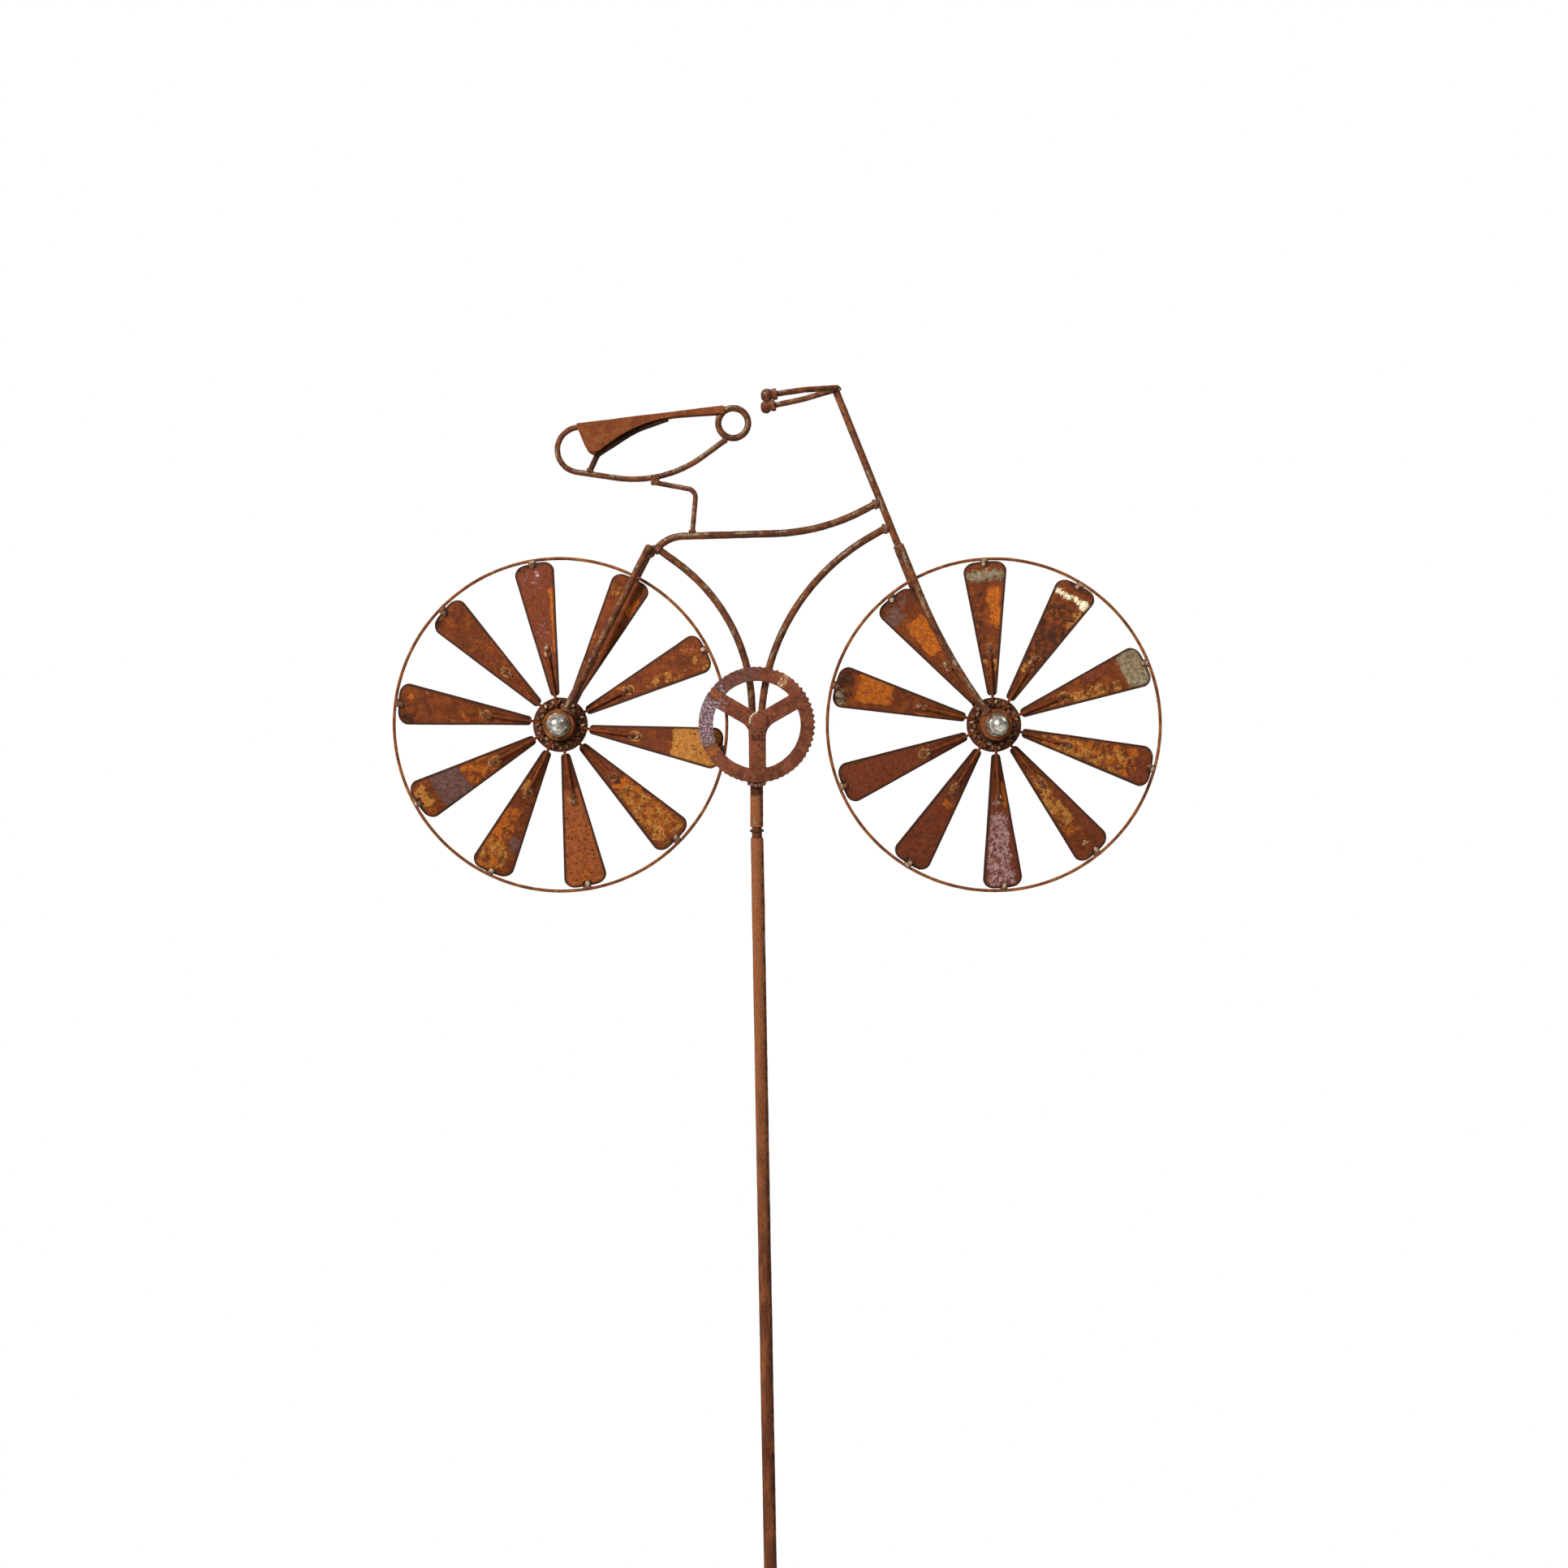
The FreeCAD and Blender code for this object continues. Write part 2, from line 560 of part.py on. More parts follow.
keep(cut("saddle_loop_rod", loop_body, ring), "saddle_loop")

post_rod = bent_rod("seat_post_rod", SEAT_POST, "post_rod", bike)
seat_post = keep(cut("seat_post", post_rod, top_tube, loop_body), "seat_post")
lug_x, lug_z, lug_width = SADDLE_LUG
lug = doc.addObject("Part::Box", "saddle_lug_block")
lug.Length, lug.Width, lug.Height = lug_x[1] - lug_x[0], lug_width, lug_z[1] - lug_z[0]
lug.Placement = bike * at(lug_x[0], -lug_width / 2, lug_z[0])
keep(cut("saddle_lug", lug, loop_body, seat_post), "saddle_lug")
rail_rod = bent_rod("saddle_rail_rod", SADDLE_RAIL, "rail_rod", bike)
keep(cut("saddle_rail", rail_rod, loop_body), "saddle_rail")

# The cover is one sheet folded over the rod, in a frame whose X runs forward along the rod.
ridge_turn = Rotation(Y, -math.degrees(ridge_angle))
cover = new_body("saddle_cover", bike * at(ridge_back.x, 0, ridge_back.y, ridge_turn))
fold = new_sketch(cover, "saddle_cover_fold", "YZ_Plane", at(0, 0, size("cover_length") / 2))
spread = math.radians(size("cover_spread"))
inner_radius = size("saddle_rod / 2") + size("fit_gap")
outer_radius = inner_radius + size("cover_thickness")
lower_ends = []
for radius in (outer_radius, inner_radius):
    ends = []
    for mirror in (1, -1):
        shoulder = Vector(mirror * math.cos(spread), math.sin(spread), 0) * radius
        foot = shoulder + Vector(mirror * math.sin(spread), -math.cos(spread), 0) * size("cover_drop")
        fold.addGeometry(Part.LineSegment(shoulder, foot))
        ends.append((shoulder, foot))
    add_arc(fold, ends[0][0], Vector(0, radius, 0), ends[1][0])
    lower_ends.append(ends)
for mirror in (0, 1):
    fold.addGeometry(Part.LineSegment(lower_ends[0][mirror][1], lower_ends[1][mirror][1]))
pad(cover, fold, "saddle_cover_pad", "cover_length")
trim_sketch = new_sketch(cover, "saddle_cover_trim", "XZ_Plane")
outline(trim_sketch, [(-6, 3.5), (-1, 3.5), (7.3, -25.6, 8), (44.4, -1.6, 95), (78, -1.6, 60), (115, -3.8),
                      (115, -40), (-6, -40)])
cut_out(cover, trim_sketch, "saddle_cover_pocket")
keep(cover, "saddle_cover")


# ---- handlebar ----

for side_name, side in SIDES.items():
    frame = bike * at(BAR_ROOT[0], 0, BAR_ROOT[1], Rotation(Z, 180) * Rotation(Y, BAR_SLOPE))
    route = [(point[0], -side * point[1]) + tuple(point[2:]) for point in BAR_ROUTE]
    bar = bent_rod("handlebar_rod_" + side_name, route, "bar_rod", frame, "XY_Plane")
    keep(cut("handlebar_" + side_name, bar, head_tube), "handlebar_" + side_name)
    last, end = Vector(*route[1][:2], 0), Vector(*route[2][:2], 0)
    heading = (end - last).normalize()
    start = end - heading * size("grip_length * 0.7")
    keep(turned("grip_" + side_name, [[
        ("bar_rod / 2 + fit_gap", "0"), ("grip_collar_radius", "0.4"), ("grip_collar_radius", "3"),
        ("grip_collar_radius * 0.8", "3.8"), ("grip_radius * 0.8", "4.6"), ("grip_radius", "6.4"),
        ("grip_radius", "8"), ("grip_radius * 0.75", "grip_length - 1"),
        ("grip_radius * 0.4", "grip_length"), ("0", "grip_length"), ("0", "grip_length * 0.7 + fit_gap"),
        ("bar_rod / 2 + fit_gap", "grip_length * 0.7 + fit_gap")]],
        frame * Placement(start, Rotation(Y, heading))), "grip_" + side_name)


# ---- check and write ----

doc.recompute()
failed = [item.Name for item in doc.Objects if "Invalid" in item.State or "Error" in item.State]
failed += [node.Label for node in NODES if node.Shape.isNull() or not node.Shape.isValid()]
if failed:
    raise RuntimeError("These objects failed: " + ", ".join(failed))
for node in NODES:
    node.Shape.exportStep("parts/%s.step" % node.Label)
    print("%-18s %2d solid(s) %10.1f mm3" % (node.Label, len(node.Shape.Solids), node.Shape.Volume))
for name, place in [("bracket", bike), ("rear hub", hubs["rear"]), ("front hub", hubs["front"])]:
    print(name, [round(value, 4) for value in place.Base])
print(len(NODES), "nodes")
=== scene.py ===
import json
import math
import random

import bmesh
import bpy
import numpy as np
from mathutils import Matrix, Vector, noise

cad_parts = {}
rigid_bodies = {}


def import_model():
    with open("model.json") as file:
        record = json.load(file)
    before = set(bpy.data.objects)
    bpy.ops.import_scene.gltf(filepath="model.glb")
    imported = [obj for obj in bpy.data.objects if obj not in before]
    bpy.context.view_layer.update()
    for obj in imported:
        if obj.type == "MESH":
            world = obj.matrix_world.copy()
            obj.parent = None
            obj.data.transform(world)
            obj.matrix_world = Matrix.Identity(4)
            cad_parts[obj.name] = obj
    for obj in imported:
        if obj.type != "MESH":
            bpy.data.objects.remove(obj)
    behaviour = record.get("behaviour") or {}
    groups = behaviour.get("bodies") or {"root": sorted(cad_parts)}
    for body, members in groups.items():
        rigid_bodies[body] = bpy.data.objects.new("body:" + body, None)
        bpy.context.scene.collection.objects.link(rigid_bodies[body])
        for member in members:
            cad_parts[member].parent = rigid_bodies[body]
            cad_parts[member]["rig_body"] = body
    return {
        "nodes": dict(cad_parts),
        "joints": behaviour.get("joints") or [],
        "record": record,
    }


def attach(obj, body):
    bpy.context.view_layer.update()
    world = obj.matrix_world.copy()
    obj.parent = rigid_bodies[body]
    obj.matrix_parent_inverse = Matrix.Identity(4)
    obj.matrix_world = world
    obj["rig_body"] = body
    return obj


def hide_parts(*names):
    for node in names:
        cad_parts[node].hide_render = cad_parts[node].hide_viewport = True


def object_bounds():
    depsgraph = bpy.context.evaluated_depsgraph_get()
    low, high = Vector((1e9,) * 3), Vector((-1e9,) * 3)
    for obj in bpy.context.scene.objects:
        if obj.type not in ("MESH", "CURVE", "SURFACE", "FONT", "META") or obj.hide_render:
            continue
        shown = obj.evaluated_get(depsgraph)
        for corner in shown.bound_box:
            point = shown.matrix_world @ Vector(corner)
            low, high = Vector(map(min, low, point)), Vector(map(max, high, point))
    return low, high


# The looks of a rusty bicycle wind spinner. All pieces are made in the row frame, in metres; sizes on
# the object are written in millimetres and turned into metres by MM.

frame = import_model()
cad_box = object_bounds()

MM = 0.001
NODES = frame["nodes"]
JOINTS = {joint["name"]: Vector(joint["pos_m"]) for joint in frame["joints"]}

# ---- the bicycle's own axes ----

HUBS = {"rear": JOINTS["rear_wheel_spin"], "front": JOINTS["front_wheel_spin"]}
ACROSS = Vector((0, 1, 0))
FORWARD = (HUBS["front"] - HUBS["rear"]).normalized()
UP = FORWARD.cross(ACROSS)
BRACKET_SHARE = 146 / 322.5
BRACKET = HUBS["rear"].lerp(HUBS["front"], BRACKET_SHARE)


def along_bike(x, y, z):
    """A direction or an offset in the bicycle's own axes, from millimetres."""
    return (FORWARD * x + ACROSS * y + UP * z) * MM


def on_bike(x, z, y=0):
    """A place on the bicycle, in millimetres from the middle of the chainring."""
    return BRACKET + along_bike(x, y, z)


# ---- colours, as linear values ----

# Each ground is a deep tone, a middle one and a warm one.
GROUNDS = {
    "sheet": ((0.075, 0.018, 0.006), (0.136, 0.031, 0.008), (0.220, 0.053, 0.011)),
    "rod": ((0.045, 0.012, 0.005), (0.110, 0.030, 0.009), (0.225, 0.072, 0.017)),
    "wire": ((0.075, 0.022, 0.007), (0.180, 0.052, 0.013), (0.31, 0.105, 0.024)),
    "plate": ((0.075, 0.022, 0.012), (0.150, 0.042, 0.021), (0.225, 0.072, 0.033)),
    "hub": ((0.026, 0.010, 0.006), (0.075, 0.024, 0.011), (0.160, 0.054, 0.022)),
    "eye": ((0.075, 0.022, 0.008), (0.160, 0.045, 0.013), (0.26, 0.080, 0.020)),
    "saddle": ((0.095, 0.024, 0.008), (0.148, 0.038, 0.011), (0.195, 0.058, 0.016)),
    "stake": ((0.064, 0.018, 0.008), (0.128, 0.037, 0.015), (0.205, 0.067, 0.024)),
    "burnt": ((0.020, 0.009, 0.006), (0.045, 0.018, 0.010), (0.085, 0.032, 0.015)),
}
# Each layer that lies over a ground has a main tone and a second one that mottles it.
LAYERS = {
    "red": ((0.160, 0.036, 0.014), (0.105, 0.026, 0.011)),
    "sienna": ((0.300, 0.082, 0.022), (0.195, 0.050, 0.015)),
    "orange": ((0.42, 0.108, 0.009), (0.25, 0.062, 0.010)),
    "ochre": ((0.40, 0.175, 0.038), (0.30, 0.108, 0.018)),
    "grey": ((0.130, 0.069, 0.056), (0.085, 0.040, 0.032)),
    "pink": ((0.42, 0.245, 0.235), (0.130, 0.040, 0.030)),
    "violet": ((0.42, 0.33, 0.40), (0.080, 0.027, 0.027)),
    "dark": ((0.048, 0.016, 0.008), (0.028, 0.011, 0.007)),
    "scale": ((0.235, 0.200, 0.130), (0.135, 0.095, 0.052)),
    "cream": ((0.82, 0.73, 0.52), (0.50, 0.36, 0.20)),
    "black": ((0.016, 0.008, 0.006), (0.035, 0.015, 0.009)),
}
MARKS = tuple(LAYERS) + ("pits", "edge")


# ---- materials ----

class Graph:
    """A material's nodes, with short ways to add and join them."""

    def __init__(self, name):
        self.material = bpy.data.materials.new(name)
        self.material.use_nodes = True
        self.nodes = self.material.node_tree.nodes
        self.links = self.material.node_tree.links
        self.shader = self.nodes["Principled BSDF"]
        self.place = self.nodes.new("ShaderNodeTexCoord").outputs["Object"]

    def add(self, kind, **settings):
        node = self.nodes.new(kind)
        for key, value in settings.items():
            setattr(node, key, value)
        return node

    def feed(self, socket, value):
        """Joins a socket to another, or sets its value."""
        if isinstance(value, bpy.types.NodeSocket):
            self.links.new(value, socket)
        elif isinstance(value, tuple) and len(value) == 3 and socket.type == "RGBA":
            socket.default_value = value + (1,)
        else:
            socket.default_value = value

    def noise(self, scale, detail, rough, offset=0.0, stretch=(1, 1, 1)):
        """Noise with so many lumps a metre; the offset keeps two noises of one material apart."""
        mapping = self.add("ShaderNodeMapping")
        self.feed(mapping.inputs["Vector"], self.place)
        mapping.inputs["Location"].default_value = (offset, offset * 0.7, -offset)
        mapping.inputs["Scale"].default_value = stretch
        texture = self.add("ShaderNodeTexNoise")
        self.links.new(mapping.outputs[0], texture.inputs["Vector"])
        texture.inputs["Scale"].default_value = scale
        texture.inputs["Detail"].default_value = detail
        texture.inputs["Roughness"].default_value = rough
        return texture.outputs["Fac"]

    def cells(self, scale):
        """The distance to the nearest of many scattered points."""
        texture = self.add("ShaderNodeTexVoronoi")
        self.feed(texture.inputs["Vector"], self.place)
        texture.inputs["Scale"].default_value = scale
        return texture.outputs["Distance"]

    def math(self, operation, first, second=0.0):
        node = self.add("ShaderNodeMath", operation=operation)
        self.feed(node.inputs[0], first)
        self.feed(node.inputs[1], second)
        return node.outputs[0]

    def ramp(self, value, low, high, start=0.0, end=1.0):
        """A value turned from one range into another and held there."""
        node = self.add("ShaderNodeMapRange")
        for socket, number in zip(node.inputs, (value, low, high, start, end)):
            self.feed(socket, number)
        return node.outputs[0]

    def mix(self, share, first, second, blend="MIX"):
        """A share of the second colour in the first; a Mix node has its colours on sockets 6 and 7."""
        node = self.add("ShaderNodeMix", data_type="RGBA", blend_type=blend)
        for index, value in ((0, share), (6, first), (7, second)):
            self.feed(node.inputs[index], value)
        return node.outputs[2]

    def mark(self, name):
        """How strongly a piece's mesh carries a mark; 0 where it has none."""
        node = self.add("ShaderNodeAttribute", attribute_name=name)
        return node.outputs["Fac"]

    def bump(self, height, depth, strength):
        node = self.add("ShaderNodeBump")
        node.inputs["Strength"].default_value = strength
        node.inputs["Distance"].default_value = depth
        self.feed(node.inputs["Height"], height)
        self.links.new(node.outputs[0], self.shader.inputs["Normal"])


# How far a mark of 1 on a mesh lifts a layer; a level of a half is the layer's ragged border.
MARK_WEIGHT = 1.65
LAYER_COVER = 0.92
# What a layer has where a material doesn't name it: it shows only where the mesh is marked for it.
UNNAMED_LAYER = -0.12


def lay_over(g, tone, layer, blotch, amount, number):
    """Shows a layer where the mesh is marked for it, or where its amount lets the blotches through,
    with a mottled inside and a dark line round its edge."""
    main, second = LAYERS[layer]
    ragged = g.noise(blotch * (1 + 0.23 * number), 9, 0.68, 5.3 + 2.9 * number)
    marked = g.math("MULTIPLY", g.mark(layer), MARK_WEIGHT)
    level = g.math("ADD", marked, g.ramp(ragged, 0.25, 0.75, -0.55 + amount, 0.55 + amount))
    share = g.ramp(level, 0.40, 0.60)
    mottle = g.ramp(g.noise(blotch * 3.4, 6, 0.7, 1.9 * number), 0.42, 0.58)
    colour = g.mix(mottle, second, main)
    border = g.math("MULTIPLY", g.math("MULTIPLY", share, g.math("SUBTRACT", 1.0, share)), 1.2)
    shown = g.mix(g.math("MULTIPLY", share, LAYER_COVER), tone, colour)
    return g.mix(border, shown, LAYERS["dark"][0])


def ground_tone(g, ground, medium, upper, stretch):
    """The three tones of a ground, and a warmer one over the upper part of a tall piece."""
    deep, middle, warm = GROUNDS[ground]
    broad = g.noise(42, 6, 0.62, 0.0, stretch)
    tone = g.mix(g.ramp(broad, 0.34, 0.66), middle, deep)
    tone = g.mix(g.ramp(medium, 0.46, 0.66, 0.0, 0.85), tone, warm)
    if upper:
        low, high, colour = upper
        place = g.add("ShaderNodeSeparateXYZ")
        g.feed(place.inputs[0], g.place)
        ragged = g.ramp(medium, 0.25, 0.75, -0.5, 0.5)
        height = g.math("ADD", g.ramp(place.outputs["Z"], low, high), ragged)
        tone = g.mix(g.ramp(height, 0.2, 0.8, 0.0, 0.9), tone, colour)
    return tone


def pitted(g, tone):
    """Small dark pits, in places by themselves and wherever the mesh is marked for them."""
    pits = g.ramp(g.cells(270), 0.14, 0.32, 1.0, 0.0)
    reach = g.ramp(g.math("ADD", g.mark("pits"), g.noise(70, 3, 0.5, 9.7)), 0.60, 0.85)
    return g.mix(g.math("MULTIPLY", g.math("MULTIPLY", pits, reach), 0.85), tone, LAYERS["dark"][0])


def dark_edged(g, tone, fine):
    """Nearly black rust along the edges that the mesh marks."""
    level = g.math("ADD", g.mark("edge"), g.ramp(fine, 0.3, 0.7, -0.25, 0.25))
    return g.mix(g.ramp(level, 0.25, 0.75, 0.0, 0.94), tone, LAYERS["black"][1])


def rust(name, ground, amounts, blotch=110, grain=1.0, gloss=0.0, upper=None, stretch=(1, 1, 1)):
    """Rusty steel: a ground in three tones, layers over it, then pits, dark edges and fine dust."""
    g = Graph(name)
    medium = g.noise(150, 8, 0.7, 1.3, stretch)
    fine = g.noise(800, 5, 0.72, 3.1)
    tone = ground_tone(g, ground, medium, upper, stretch)
    for number, layer in enumerate(LAYERS):
        tone = lay_over(g, tone, layer, blotch, amounts.get(layer, UNNAMED_LAYER), number)
    tone = dark_edged(g, pitted(g, tone), fine)
    dust = g.mix(g.ramp(fine, 0.35, 0.65), (0.66, 0.64, 0.62), (1.32, 1.31, 1.28))
    g.feed(g.shader.inputs["Base Color"], g.mix(1.0, tone, dust, "MULTIPLY"))
    shiny = g.math("MULTIPLY", g.mark("pink"), 0.45)
    dull = g.ramp(medium, 0.35, 0.65, 0.72 - gloss, 0.92 - gloss)
    g.feed(g.shader.inputs["Roughness"], g.math("SUBTRACT", dull, shiny))
    g.shader.inputs["Specular IOR Level"].default_value = 0.08 + 0.8 * gloss
    height = g.math("ADD", g.math("MULTIPLY", fine, 0.6), g.math("MULTIPLY", medium, 0.9))
    height = g.math("ADD", height, g.ramp(g.cells(500), 0.0, 0.35, -0.4, 0.0))
    g.bump(height, 0.0004 * grain, 0.8)
    return g.material


def zinc(name, dull, bright, rusty):
    """Zinc plating gone patchy, with rust in it from a level of the stain noise on."""
    g = Graph(name)
    patches = g.noise(330, 6, 0.65)
    fine = g.noise(1500, 3, 0.6, 2.0)
    tone = g.mix(g.ramp(patches, 0.38, 0.62), dull, bright)
    stain = g.ramp(g.noise(420, 7, 0.7, 7.0), rusty, rusty + 0.12)
    dirt = g.math("MULTIPLY", g.mark("edge"), g.ramp(patches, 0.35, 0.6, 0.85, 0.45))
    stain = g.math("MAXIMUM", stain, dirt)
    tone = g.mix(g.math("MULTIPLY", stain, 0.85), tone, (0.105, 0.048, 0.024))
    g.feed(g.shader.inputs["Base Color"], tone)
    g.feed(g.shader.inputs["Metallic"], g.ramp(stain, 0.0, 1.0, 0.9, 0.1))
    g.feed(g.shader.inputs["Roughness"], g.ramp(patches, 0.3, 0.7, 0.45, 0.20))
    g.bump(g.math("ADD", patches, g.math("MULTIPLY", fine, 0.4)), 0.0003, 0.7)
    return g.material


def weld_steel(name):
    """Weld metal: dark and rusty, with paler, shinier tops that are partly bare metal and partly a painted
    highlight.
    """
    g = Graph(name)
    patches = g.noise(480, 5, 0.6)
    fine = g.noise(1300, 4, 0.65, 4.0)
    rusty = g.mix(g.ramp(patches, 0.35, 0.65), LAYERS["dark"][0], (0.19, 0.070, 0.030))
    ragged = g.ramp(g.noise(620, 4, 0.6, 8.0), 0.25, 0.75, -0.40, 0.40)
    bare = g.ramp(g.math("ADD", g.mark("bright"), ragged), 0.35, 0.75)
    pale = g.mix(g.ramp(fine, 0.4, 0.6), (0.27, 0.175, 0.100), (0.50, 0.40, 0.28))
    g.feed(g.shader.inputs["Base Color"], g.mix(bare, rusty, pale))
    g.feed(g.shader.inputs["Metallic"], g.math("MULTIPLY", bare, 0.35))
    g.feed(g.shader.inputs["Roughness"], g.ramp(bare, 0.0, 1.0, 0.80, 0.42))
    g.shader.inputs["Specular IOR Level"].default_value = 0.3
    g.bump(g.math("ADD", patches, g.math("MULTIPLY", fine, 0.5)), 0.0003, 0.8)
    return g.material


# Noise drawn out along the stake.
STREAKS = (1, 1, 0.22)
MATERIALS = {
    "rod": rust("rusty_rod", "rod", {"orange": -0.08, "dark": -0.08}, 130, 1.0, 0.10),
    "stake": rust("rusty_stake", "stake", {"dark": 0.0, "orange": -0.14, "scale": -0.12}, 90, 1.0, 0.0,
                  (0.30, 0.62, (0.205, 0.070, 0.025)), STREAKS),
    "blade": rust("rusty_sheet", "sheet", {"red": -0.06, "orange": -0.10, "dark": -0.10}, 105),
    "rim": rust("rusty_wire", "wire", {"dark": -0.02, "orange": -0.05}, 60),
    "ring": rust("rusty_plate", "plate", {"violet": -0.16, "grey": -0.08}, 240, 1.8),
    "hub": rust("rusty_hub", "hub", {"scale": -0.1}, 220, 1.5),
    "eye": rust("rusty_eye", "eye", {"dark": -0.1}, 160),
    "saddle": rust("rusty_saddle", "saddle", {"dark": -0.16, "ochre": -0.14}, 90),
    "burnt": rust("burnt_rod", "burnt", {}, 130),
    "zinc": zinc("zinc_plating", (0.22, 0.20, 0.15), (0.76, 0.74, 0.67), 0.58),
    "washer": zinc("dirty_zinc", (0.085, 0.060, 0.038), (0.33, 0.30, 0.22), 0.48),
    "weld": weld_steel("weld_metal"),
}


# ---- mesh building ----

def add_object(name, data):
    """A new object in the scene."""
    item = bpy.data.objects.new(name, data)
    bpy.context.scene.collection.objects.link(item)
    return item


def finish_piece(name, mesh, material, body, slot, replaces=(), sharp=40):
    """Makes a piece from a mesh in the row frame and ties it to its CAD body."""
    mesh.shade_smooth()
    mesh.set_sharp_from_angle(angle=math.radians(sharp))
    mesh.materials.clear()
    mesh.materials.append(MATERIALS[material])
    piece = add_object(name, mesh)
    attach(piece, body)
    if replaces:
        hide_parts(*replaces)
    return piece


def set_marks(mesh, marks):
    """Writes named values, one a vertex, for the materials to read."""
    for name, values in marks.items():
        if any(values):
            mesh.attributes.new(name, "FLOAT", "POINT").data.foreach_set("value", values)


def by_layer(entries):
    """Marks given vertex by vertex, as one list for each layer."""
    return {layer: [entry.get(layer, 0.0) for entry in entries] for layer in MARKS}


def mesh_from(name, vertices, faces, marks=None):
    mesh = bpy.data.meshes.new(name)
    mesh.from_pydata(vertices, [], faces)
    mesh.update()
    set_marks(mesh, marks or {})
    return mesh


def uneven(point, pitch, seed=0.0):
    """Smooth noise from -1 to 1 whose lumps are about one pitch across, in millimetres."""
    return noise.noise(point / (pitch * MM) + Vector((seed, seed * 1.7, -seed)))


def main_axes(vertices):
    """The directions of a cloud of points, the longest first."""
    points = np.array([tuple(vertex) for vertex in vertices])
    spread = np.cov((points - points.mean(0)).T)
    values, directions = np.linalg.eigh(spread)
    return [Vector(directions[:, index]) for index in np.argsort(values)[::-1]]


def weathered(node, material, step, lumps=0.12, dents=0.0, axis_count=1, mark=None):
    """A copy of a CAD node with more rings of vertices and an uneven, crusted surface, in its place.
    Steps and heights are in millimetres; mark gives a vertex its marks from its place and normal."""
    bm = bmesh.new()
    bm.from_mesh(NODES[node].data)
    bmesh.ops.remove_doubles(bm, verts=bm.verts, dist=1e-6)
    for axis in main_axes([vertex.co for vertex in bm.verts])[:axis_count]:
        places = [vertex.co.dot(axis) for vertex in bm.verts]
        low, high = min(places), max(places)
        count = int((high - low) / (step * MM))
        for index in range(1, count):
            level = low + (high - low) * index / count
            geometry = bm.verts[:] + bm.edges[:] + bm.faces[:]
            bmesh.ops.bisect_plane(bm, geom=geometry, dist=1e-7, plane_co=axis * level, plane_no=axis)
    bmesh.ops.recalc_face_normals(bm, faces=bm.faces)
    bm.normal_update()
    moves = [vertex.normal * (uneven(vertex.co, 3.5, 1.0) * lumps + uneven(vertex.co, 1.3, 2.0) * lumps * 0.5
                              + uneven(vertex.co, 25, 3.0) * dents) * MM for vertex in bm.verts]
    for vertex, move in zip(bm.verts, moves):
        vertex.co += move
    mesh = bpy.data.meshes.new(node + "_skin")
    bm.to_mesh(mesh)
    bm.free()
    if mark:
        marks = [mark(vertex.co, vertex.normal) for vertex in mesh.vertices]
        set_marks(mesh, by_layer(marks))
    body = NODES[node]["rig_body"]
    return finish_piece(node + "_skin", mesh, material, body, SLOTS[node], (node,))


def lathe(profile, origin, axis, sides, radius_at=None):
    """Vertices and faces of a solid turned about an axis; the profile is (radius, place along) in
    millimetres, and radius_at may change a radius by direction."""
    axis = axis.normalized()
    side = axis.orthogonal().normalized()
    other = axis.cross(side)
    vertices, faces = [], []
    for radius, along in profile:
        for index in range(sides):
            angle = 2 * math.pi * index / sides
            reach = radius_at(radius, angle) if radius_at else radius
            out = side * math.cos(angle) + other * math.sin(angle)
            vertices.append(origin + (axis * along + out * reach) * MM)
    for row in range(len(profile) - 1):
        for index in range(sides):
            following = (index + 1) % sides
            faces.append((row * sides + index, row * sides + following,
                          (row + 1) * sides + following, (row + 1) * sides + index))
    faces.append(tuple(reversed(range(sides))))
    faces.append(tuple(range((len(profile) - 1) * sides, len(profile) * sides)))
    return vertices, faces


def joined(parts):
    """Several lists of vertices and faces as one."""
    vertices, faces = [], []
    for part_vertices, part_faces in parts:
        start = len(vertices)
        vertices += part_vertices
        faces += [tuple(start + index for index in face) for face in part_faces]
    return vertices, faces


def bead_shape(rings=9, sides=14):
    """A unit ball as vertices and faces."""
    vertices, faces = [Vector((0, 0, 1))], []
    for ring in range(1, rings):
        polar = math.pi * ring / rings
        for index in range(sides):
            angle = 2 * math.pi * index / sides
            vertices.append(Vector((math.sin(polar) * math.cos(angle), math.sin(polar) * math.sin(angle),
                                    math.cos(polar))))
    vertices.append(Vector((0, 0, -1)))
    for index in range(sides):
        faces.append((0, 1 + index, 1 + (index + 1) % sides))
        last = 1 + (rings - 2) * sides
        faces.append((len(vertices) - 1, last + (index + 1) % sides, last + index))
    for ring in range(rings - 2):
        for index in range(sides):
            first, second = 1 + ring * sides + index, 1 + ring * sides + (index + 1) % sides
            faces.append((first, first + sides, second + sides, second))
    return vertices, faces


BALL = bead_shape()


